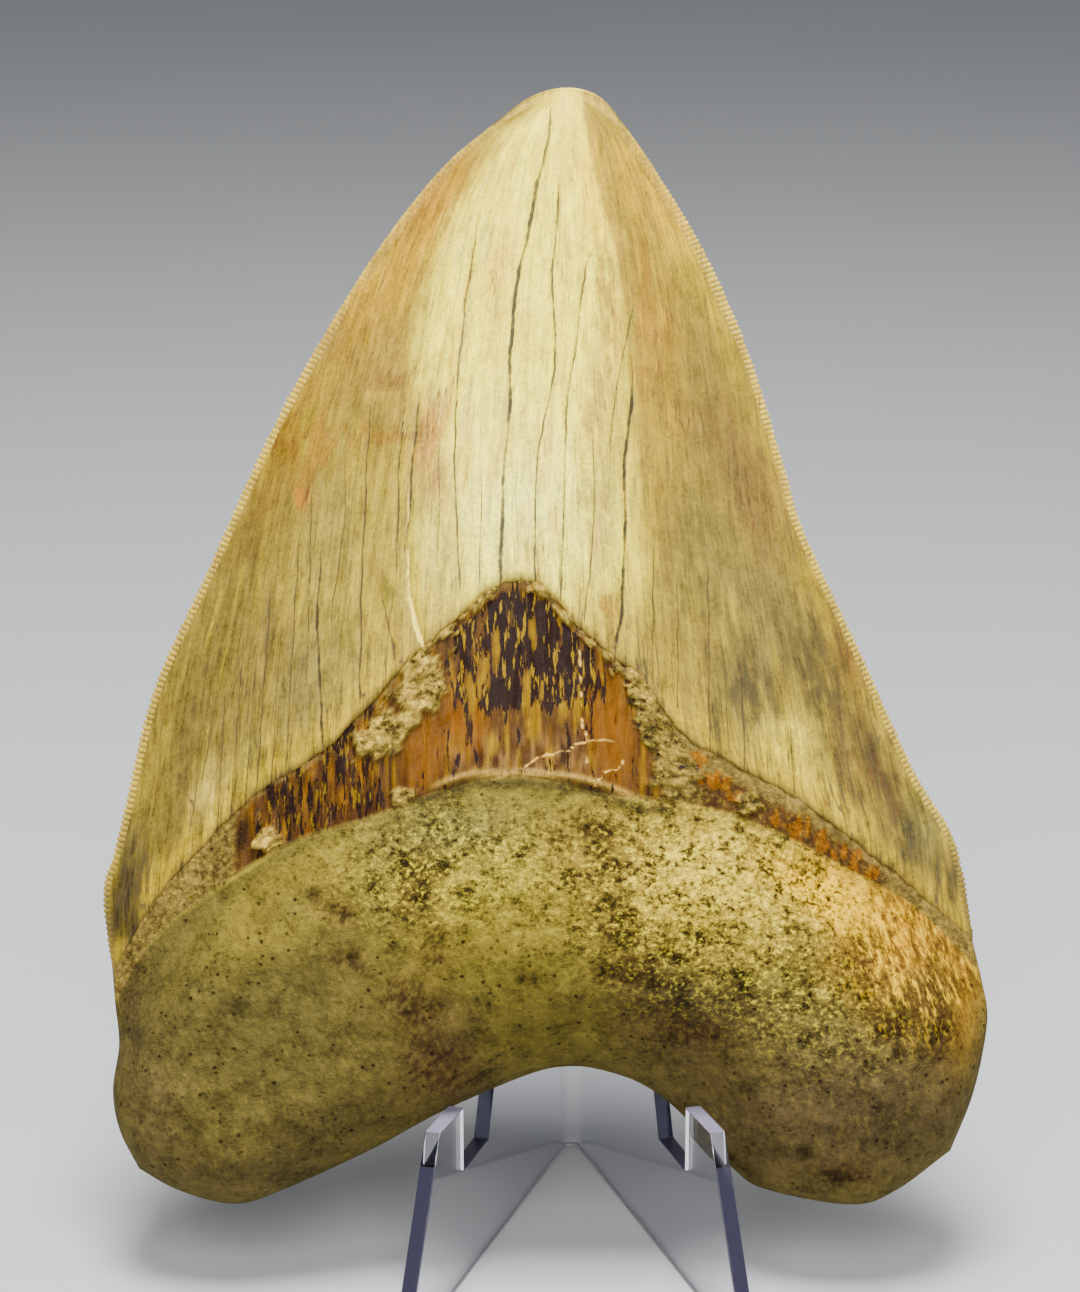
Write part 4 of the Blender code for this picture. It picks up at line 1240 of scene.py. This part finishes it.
# %% [markdown]
# Root finish.
# Porous bone scatters light and has grains finer than the mesh, so the nodes add them as
# colour and as bump. On the band they are drawn out into fibres, and the surface is smoother
# and glossier than on the root.

# %% Root and band material
def root_material():
    """Laid colour, times grains, with small dark pores, pale tops on the raised grains that are
    partly painted highlight, and bump from the same grains.
    """
    r = Recipe("fossil_root")
    spot = r.field("flat", "Vector")
    band = r.field("band")
    grit = r.field("grit")
    coarse = r.grain(spot, (0.45, 0.45, 0.45), 6.0, 0.65)
    grains = r.grain(spot, (1.45, 1.75, 1.6), 6.0, 0.68)
    fine = r.grain(spot, (4.4, 4.4, 4.4), 3.0, 0.6)
    wisps = r.grain(r.field("flow", "Vector"), (1.6, 0.42, 0.8), 5.0, 0.66)
    patches = r.grain(spot, (0.20, 0.24, 0.2), 3.0, 0.6)
    clots = r.grain(spot, (0.42, 0.52, 0.45), 6.0, 0.72)
    fibres = r.grain(spot, (3.6, 0.45, 1.0), 4.0, 0.6)
    pores = r.cells(spot, (0.75, 0.75, 0.75))
    light = (1.0 + (grains - 0.5) * (0.5 + 4.2 * grit) + (fine - 0.5) * (0.6 + 1.2 * grit)
             + (coarse - 0.5) * (1.4 + 1.6 * grit) + (clots - 0.5) * (0.4 + 3.0 * grit)
             + (wisps - 0.5) * (1 - grit) * 0.8 + (patches - 0.5) * 1.4)
    band_light = 0.20 + fibres * 1.4 + coarse * 0.20
    both = r.math("MAXIMUM", light * (1 - band) + band_light * band, 0.12)

    ink, vein, fibrous = r.field("ink"), r.field("vein"), r.field("fibrous")
    strand = r.grain(spot, (1.35, 0.24, 0.5), 6.0, 0.62)
    thin = r.grain(spot, (2.4, 0.36, 0.5), 4.0, 0.6)
    streak = r.step(strand - (0.70 - ink * 0.31), -0.015, 0.03)
    dark = r.step(grains, 0.47, 0.37) * r.step(coarse, 0.60, 0.44) * (1 - band * 0.6)
    hole = r.step(pores, 0.22, 0.10) * r.step(coarse, 0.55, 0.45) * (1 - band)
    # Pale on the raised grains: partly the bone's pale grains, partly painted highlight.
    pale = r.step(grains, 0.53, 0.64) * (1 - band) * grit * grit
    tuft = r.step(wisps, 0.55, 0.67) * (1 - band) * (1 - grit)
    colour = r.cover(
        r.tone(r.field("ground", "Color"), both),
        (paint(44, 24, 22), streak * band * 0.95),
        (paint(194, 162, 50), r.step(thin, 0.575, 0.61) * r.step(ink, 0.3, 0.9) * band * 0.9),
        # Greyish pink flecks on the dark streaks: painted glints.
        (paint(110, 84, 96), r.step(fine, 0.56, 0.68) * r.step(ink, 0.5, 0.9) * band * 0.35),
        (paint(232, 208, 168), r.step(vein, 0.30, 0.80) * band * 0.75),
        (paint(66, 46, 22), dark * (0.20 + 0.66 * grit)),
        (paint(44, 30, 16), hole * 0.8),
        # Pale tops of the raised grains, partly painted highlight.
        (paint(236, 218, 164), pale * 0.6),
        (paint(190, 168, 98), tuft * 0.2),
        (paint(122, 82, 28), r.step(wisps, 0.50, 0.41) * fibrous * 0.85),
        (paint(240, 206, 120), r.step(wisps, 0.53, 0.62) * fibrous * 0.7))
    relief = grains * (0.35 + 0.55 * grit) + clots * 0.8 + fine * 0.3 + wisps * 0.4 - hole * 0.6
    relief = relief * (1 - band) + (fibres * 0.6 + fine * 0.3) * band
    normal = r.bump(relief, 0.00055, 0.85)
    return r.finish(Base_Color=colour, Roughness=0.75 - band * 0.38, Normal=normal,
                    Coat_Weight=band * 0.04, Coat_Roughness=0.15, Specular_IOR_Level=0.05)


ROOT_FINISH = root_material()
rings = shell(root_face, root_rear)
spots = rings.reshape(-1, 3)
gloss = band_share * (1 - crumbs) * ease((u + 41) / 3) * (1 - 0.7 * ease((u - 9) / 3))
flow = np.column_stack([spots[:, 0] + 0.55 * spots[:, 1] * np.where(spots[:, 0] < 0, 1, 0.6),
                        spots[:, 1] - 0.55 * spots[:, 0], spots[:, 2]])
fibrous = blob(u, v, (41, 30), (9, 10), -20, 4) * (1 - band_share)
grit = gritty(u, v) * (1 - band_share) + band_share * (0.45 + 0.15 * crumbs)
root_fields = {"flat": spots, "flow": flow, "ground": shell_field(ground, rear_ground),
               "band": shell_field(gloss, bu * 0),
               "ink": shell_field(ink_field(u, v, crumbs), bu * 0),
               "fibrous": shell_field(fibrous, bu * 0),
               "vein": shell_field(vein_field(u, v), bu * 0),
               "grit": shell_field(grit, bu * 0 + 0.4)}
make_piece("root_and_band", placed(spots), ring_faces(*rings.shape[:2], ROOT_COLUMNS + 1),
           root_fields, "tooth", ROOT_FINISH)

# %% [markdown]
# Serrations.
# The cutting edges are lined with small even teeth, about fifteen to the centimetre, worn
# away towards the tip. Each edge is a thin wedge carried along the outline, and each tooth is a
# half-round lobe with a rib that runs a little way onto the crown.

# %% Cutting edges
SERRATIONS = 168  # along each edge
SAMPLES = 8       # points along each of them


def cutting_edge(curve, side, fade_from):
    """A closed wedge along the edge. The lobe at a share f of its pitch stands out by
    sqrt(1 - (2f - 1)^2), and the ribs rise by the same amount."""
    count = SERRATIONS * SAMPLES
    share = np.linspace(0, 1, count + 1)
    path = along(curve, share)
    step = np.gradient(path, axis=0)
    step /= np.hypot(*step.T)[:, None]
    out = side * np.stack([-step[:, 1], step[:, 0]], -1)
    size = (0.45 + 0.55 * ease(share / 0.16)) * ease(share / 0.02)
    size = size * (1 - 0.8 * ease((share - fade_from) / 0.2))
    size = 0.78 * size * (1 + 0.35 * noise(share * 37, share * 0, 171))
    f = (share * SERRATIONS + 0.5) % 1.0
    lobe = (1 - (2 * f - 1)**2) * size
    profile = [(1.5, 1, -0.40, 0), (0.95, 1, -0.16, 0.10), (0.55, 1, -0.03, 0.17),
               (0.12, 1, 0.0, 0.17), (-0.02, 0, 0.10, 0), (-0.02, 0, -0.10, 0),
               (0.12, -1, 0.0, -0.17), (0.55, -1, 0.03, -0.17), (0.95, -1, 0.16, -0.10),
               (1.5, -1, 0.40, 0)]
    rings = []
    for inward, face, lift, rib in profile:
        tip = abs(inward) < 0.05
        reach = 0.06 - 0.48 * lobe if tip else inward - 0.25 * lobe * (inward < 0.2)
        at = path - out * np.broadcast_to(reach, share.shape)[:, None]
        if face > 0:
            w = np.maximum(crown_front(*at.T), 0.0)
        elif face < 0:
            w = np.minimum(crown_back(*at.T), 0.0)
        else:
            w = np.zeros(len(at))
        rings.append(np.column_stack([at, w + lift + rib * lobe]))
    grid = np.stack(rings, axis=1)
    middle = grid.mean(1, keepdims=True)
    for end in (0, -1):
        grid[end] = middle[end] + (grid[end] - middle[end]) * 0.2
    return grid, lobe, size


def tube_faces(rows, around):
    """Quads round a tube, and one face over each end."""
    last = (rows - 1) * around
    return side_quads(rows, around) + [tuple(range(around))[::-1],
                                       tuple(range(last, last + around))]


for name, curve, side, fade_from in (("cutting_edge_left", CROWN_LEFT, 1.0, 0.62),
                                     ("cutting_edge_right", CROWN_RIGHT, -1.0, 0.78)):
    grid, lobe, size = cutting_edge(curve, side, fade_from)
    spots = grid.reshape(-1, 3)
    tint = crown_ground(grid[..., 0], grid[..., 1])
    near_edge = np.array([0.0, 0.25, 0.7, 1, 1, 1, 1, 0.7, 0.25, 0.0])
    worn_size = np.clip(size, 0, 1)[:, None]
    # Paler on each lobe, partly the pale enamel of the beads and partly a painted highlight; darker
    # in the gaps between the lobes, painted shade.
    tint = lay(tint, 0.5 * lobe[:, None] * near_edge, (236, 212, 164))
    gap = 1 - np.clip(1.5 * lobe / np.maximum(size, 0.1), 0, 1)
    tint = lay(tint, 0.8 * gap[:, None] * near_edge * worn_size, (98, 72, 36))
    low = ease((0.16 - np.linspace(0, 1, len(size))) / 0.12)[:, None] * np.ones(len(near_edge))
    tint = lay(tint, 0.6 * low, (120, 94, 52))
    blank = np.zeros(len(spots))
    fields = {"fan": spots, "ground": tint.reshape(-1, 3), "split": blank + 9.0, "rust": blank,
              "split_half": blank, "split_pale": blank, "weathered": blank}
    make_piece(name, placed(spots), tube_faces(*grid.shape[:2]), fields, None,
               ENAMEL_FINISH)

# %% [markdown]
# The easel.
# It is one sheet of clear acrylic, laser-cut flat and bent hot on a line. Here too the flat
# outline comes first, as a curve with thickness and a fine bevel, and then every point is
# carried round the bend, so the cut edges stay true. A matt dark violet over these edges is
# painted shade, and on top of the pegs it is pale, a painted highlight.

# %% Bent acrylic sheet
SHEET, EDGE_BEVEL = 1.9, 0.12  # thickness, and the bevel along its edges
WING_ANGLE = np.radians(18.0)  # of each wing to the line from back to front
FLAT, BEND = 0.35, 1.5         # half of the flat spine, and the radius beside it
TURN = np.pi / 2 - WING_ANGLE
WING = [(57.9, 0.0), (46.7, 22.5), (38.9, 22.3), (38.9, 14.2), (30.3, 14.4), (16.9, 53.4)]
SPINE = (3.479, 25.962)
BEND_CUTS = 14
WING_CUT = 5.0                 # one more cut, this far in front of the spine
# Above EDGE_CLEAR a peg's edges keep no painted edge shade.
EDGE_CLEAR = 18.9              # a peg's edges have no film above this height
PEG_FOOT = 14.6                # a peg begins above this height
PEG_BACK = (38.0, 40.0)        # depths on either side of a peg's back edge


def sheet_length(depth):
    """Distance along the flat sheet to a given depth in front of the spine."""
    return FLAT + BEND * TURN + (depth - BEND * (1 - np.cos(TURN))) / np.cos(WING_ANGLE)


def bent(points):
    """Where points of the flat sheet (along, up, out) go: straight across the spine, round
    a circle of the bend's radius, then straight along the wing."""
    length, up, out = points.T / MM
    side = np.where(length < 0, -1.0, 1.0)
    angle = np.clip((np.abs(length) - FLAT) / BEND, 0, TURN)
    rest = np.clip(np.abs(length) - FLAT - BEND * TURN, 0, None)
    x = np.minimum(np.abs(length), FLAT) + BEND * np.sin(angle) + rest * np.cos(TURN)
    y = -BEND * (1 - np.cos(angle)) - rest * np.sin(TURN)
    return np.stack([SPINE[0] + side * (x + out * np.sin(angle)),
                     SPINE[1] + y + out * np.cos(angle), up], -1) * MM


def flat_sheet():
    """The flat outline as a mesh with thickness, cut on each line of the bends, and for
    each face whether it is a cut edge and whether it is the top of a peg."""
    wing = [(sheet_length(depth), z) for depth, z in WING]
    outline = wing + [(-a, z) for a, z in reversed(wing)]
    curve = bpy.data.curves.new("sheet_outline", "CURVE")
    curve.dimensions = "2D"
    curve.fill_mode = "BOTH"
    curve.extrude = (SHEET / 2 - EDGE_BEVEL) * MM
    curve.bevel_depth = EDGE_BEVEL * MM
    curve.bevel_resolution = 1
    curve.offset = -EDGE_BEVEL * MM
    line = curve.splines.new("POLY")
    line.points.add(len(outline) - 1)
    for point, (a, z) in zip(line.points, outline):
        point.co = (a * MM, z * MM, 0, 1)
    line.use_cyclic_u = True
    holder = add_object("sheet_outline", curve)
    bpy.context.view_layer.update()
    depsgraph = bpy.context.evaluated_depsgraph_get()
    mesh = bpy.data.meshes.new_from_object(holder.evaluated_get(depsgraph))
    bpy.data.objects.remove(holder, do_unlink=True)
    work = bmesh.new()
    work.from_mesh(mesh)
    bmesh.ops.remove_doubles(work, verts=work.verts, dist=0.000005)

    def slice_at(place, facing):
        bmesh.ops.bisect_plane(work, geom=work.verts[:] + work.edges[:] + work.faces[:],
                               plane_co=place, plane_no=facing, dist=1e-7)

    for up in (EDGE_CLEAR, 0.5 * EDGE_CLEAR):
        slice_at((0, up * MM, 0), (0, 1, 0))
    bends = FLAT + BEND * TURN * np.linspace(0, 1, BEND_CUTS + 1)
    for at in np.append(bends, sheet_length(WING_CUT)) * MM:
        for x in (at, -at):
            slice_at((x, 0, 0), (1, 0, 0))
    bmesh.ops.triangulate(work, faces=work.faces)
    spots = np.array([v.co for v in work.verts])
    work.verts.index_update()
    faces = [tuple(v.index for v in f.verts) for f in work.faces]
    work.normal_update()
    flat = np.array([tuple(f.normal) + tuple(f.calc_center_median()) for f in work.faces])
    work.free()
    length, up = np.abs(flat[:, 3]) / MM, flat[:, 4] / MM
    # Cut faces get the painted edge shade, and the pegs' upward faces a painted highlight.
    peg = (length > sheet_length(PEG_BACK[0])) & (up > PEG_FOOT)
    clear = peg & ((up > EDGE_CLEAR) | (length < sheet_length(PEG_BACK[1])))
    cut = (np.abs(flat[:, 2]) < 0.9) & ~clear
    top = peg & (flat[:, 1] > 0.7) & (up > 20)
    return spots, faces, (cut | top).astype(float), top.astype(float)


# %% [markdown]
# Acrylic.
# A clear plastic lets light through and bends it, so it needs its own IOR, and a thick piece
# takes a faint tint from the absorption inside. Painted edge shade and peg highlights are mixed
# over it on marked faces.

# %% Acrylic material
def acrylic_material():
    """Clear acrylic: full transmission, its own IOR, and a faint violet absorption. On the cut
    edges a matt dark violet, painted shade, covers part of the clear surface, pale on top of the
    pegs as a painted highlight."""
    r = Recipe("clear_acrylic")
    volume = r.node("ShaderNodeVolumeAbsorption", {},
                    {"Color": (0.54, 0.54, 0.76, 1.0), "Density": 35.0})
    r.put(r.tree.nodes["Material Output"].inputs["Volume"], volume)
    made = r.finish(Base_Color=(0.985, 0.985, 1.0, 1.0), Roughness=0.01, Transmission_Weight=1.0,
                    IOR=1.49, Specular_IOR_Level=0.15)
    # Dark violet painted shade on the cut edges, pale painted highlight on top of the pegs.
    violet = r.mix(paint(76, 76, 106), paint(190, 188, 200), r.field("top"))
    # This matt layer carries the painted edge shade and peg highlight.
    film = r.node("ShaderNodeBsdfPrincipled", {}, {"Base Color": violet, "Roughness": 0.4,
                                                   "Specular IOR Level": 0.2})
    clear = Wire(r, r.shader.outputs["BSDF"])
    both = r.node("ShaderNodeMixShader", {}, {0: r.field("cut") * 0.64, 1: clear, 2: film})
    r.put(r.tree.nodes["Material Output"].inputs["Surface"], both)
    return made


sheet_spots, sheet_faces, cut_faces, top_faces = flat_sheet()
sheet = make_piece("easel_sheet", bent(sheet_spots), sheet_faces, {}, "stand",
                   acrylic_material())
sheet.data.set_sharp_from_angle(angle=np.radians(12))
for name, values in (("cut", cut_faces), ("top", top_faces)):
    sheet.data.attributes.new(name, "FLOAT", "FACE").data.foreach_set("value", values)

# %% [markdown]
# Floor, light and camera.
# A plain pale floor fills the view. One soft light hangs above, a larger and slightly warm
# one stands in front, and a weak one fills from the right. The camera looks down at the tooth
# from where the picture was taken.

# %% Floor
FLOOR_REACH, FLOOR_Z = 4, -0.0001  # metres: half its width, and a hair below the easel
floor = Recipe("pale_floor")
floor_spot = floor.node("ShaderNodeTexCoord", out="Object")
floor_tone = floor.grain(floor_spot, (6.0, 6.0, 6.0), 2.0)
floor_paint = floor.mix((0.46, 0.47, 0.48, 1), (0.49, 0.50, 0.51, 1), floor_tone)
floor_finish = floor.finish(Base_Color=floor_paint, Roughness=0.6)
floor_mesh = bpy.data.meshes.new("floor")
corners = [(x * FLOOR_REACH, y * FLOOR_REACH, FLOOR_Z)
           for x, y in ((-1, -1), (1, -1), (1, 1), (-1, 1))]
floor_mesh.from_pydata(corners, [], [(0, 1, 2, 3)])
floor_mesh.materials.append(floor_finish)
floor_object = add_object("floor", floor_mesh)

# %% Lights
def soft_light(name, place, target, size, power, colour=(1, 1, 1)):
    """A square area light that faces a target."""
    data = bpy.data.lights.new(name, "AREA")
    data.shape, data.size, data.energy, data.color = "SQUARE", size, power, colour
    lamp = add_object(name, data)
    lamp.location = place
    lamp.rotation_euler = (Vector(target) - Vector(place)).to_track_quat("-Z", "Y").to_euler()


soft_light("top_light", (0.0, -0.10, 0.70), (0, 0, 0.07), 0.26, 10.8)
soft_light("key_light", (-0.05, -0.62, 0.50), (0, 0, 0.07), 0.50, 6.6, (1.0, 0.98, 0.95))
soft_light("fill_light", (0.50, -0.30, 0.30), (0, 0, 0.06), 0.40, 1.2, (0.96, 0.98, 1.0))
world = bpy.data.worlds.new("studio")
world.use_nodes = True
sky = world.node_tree.nodes["Background"].inputs
sky["Color"].default_value, sky["Strength"].default_value = (0.5, 0.52, 0.55, 1), 0.5
bpy.context.scene.world = world
print("lights", len(bpy.data.lights))

# %% Camera
LONG_SIDE, FOCAL_PIXELS = 1292, 3500.0  # the picture's height and the focal length, in pixels
PITCH = np.radians(16.23)               # how far the camera looks down
camera_data = bpy.data.cameras.new("camera")
camera_data.sensor_fit = "AUTO"
camera_data.sensor_width = 36.0
camera_data.lens = camera_data.sensor_width * FOCAL_PIXELS / LONG_SIDE
camera_data.clip_start, camera_data.clip_end = 0.01, 20.0
camera = add_object("camera", camera_data)
camera.location = (-0.000621, -0.39694, 0.1911)
camera.rotation_euler = (np.pi / 2 - PITCH, 0, 0)
bpy.context.scene.camera = camera
print("lens", round(camera_data.lens, 1), "mm")
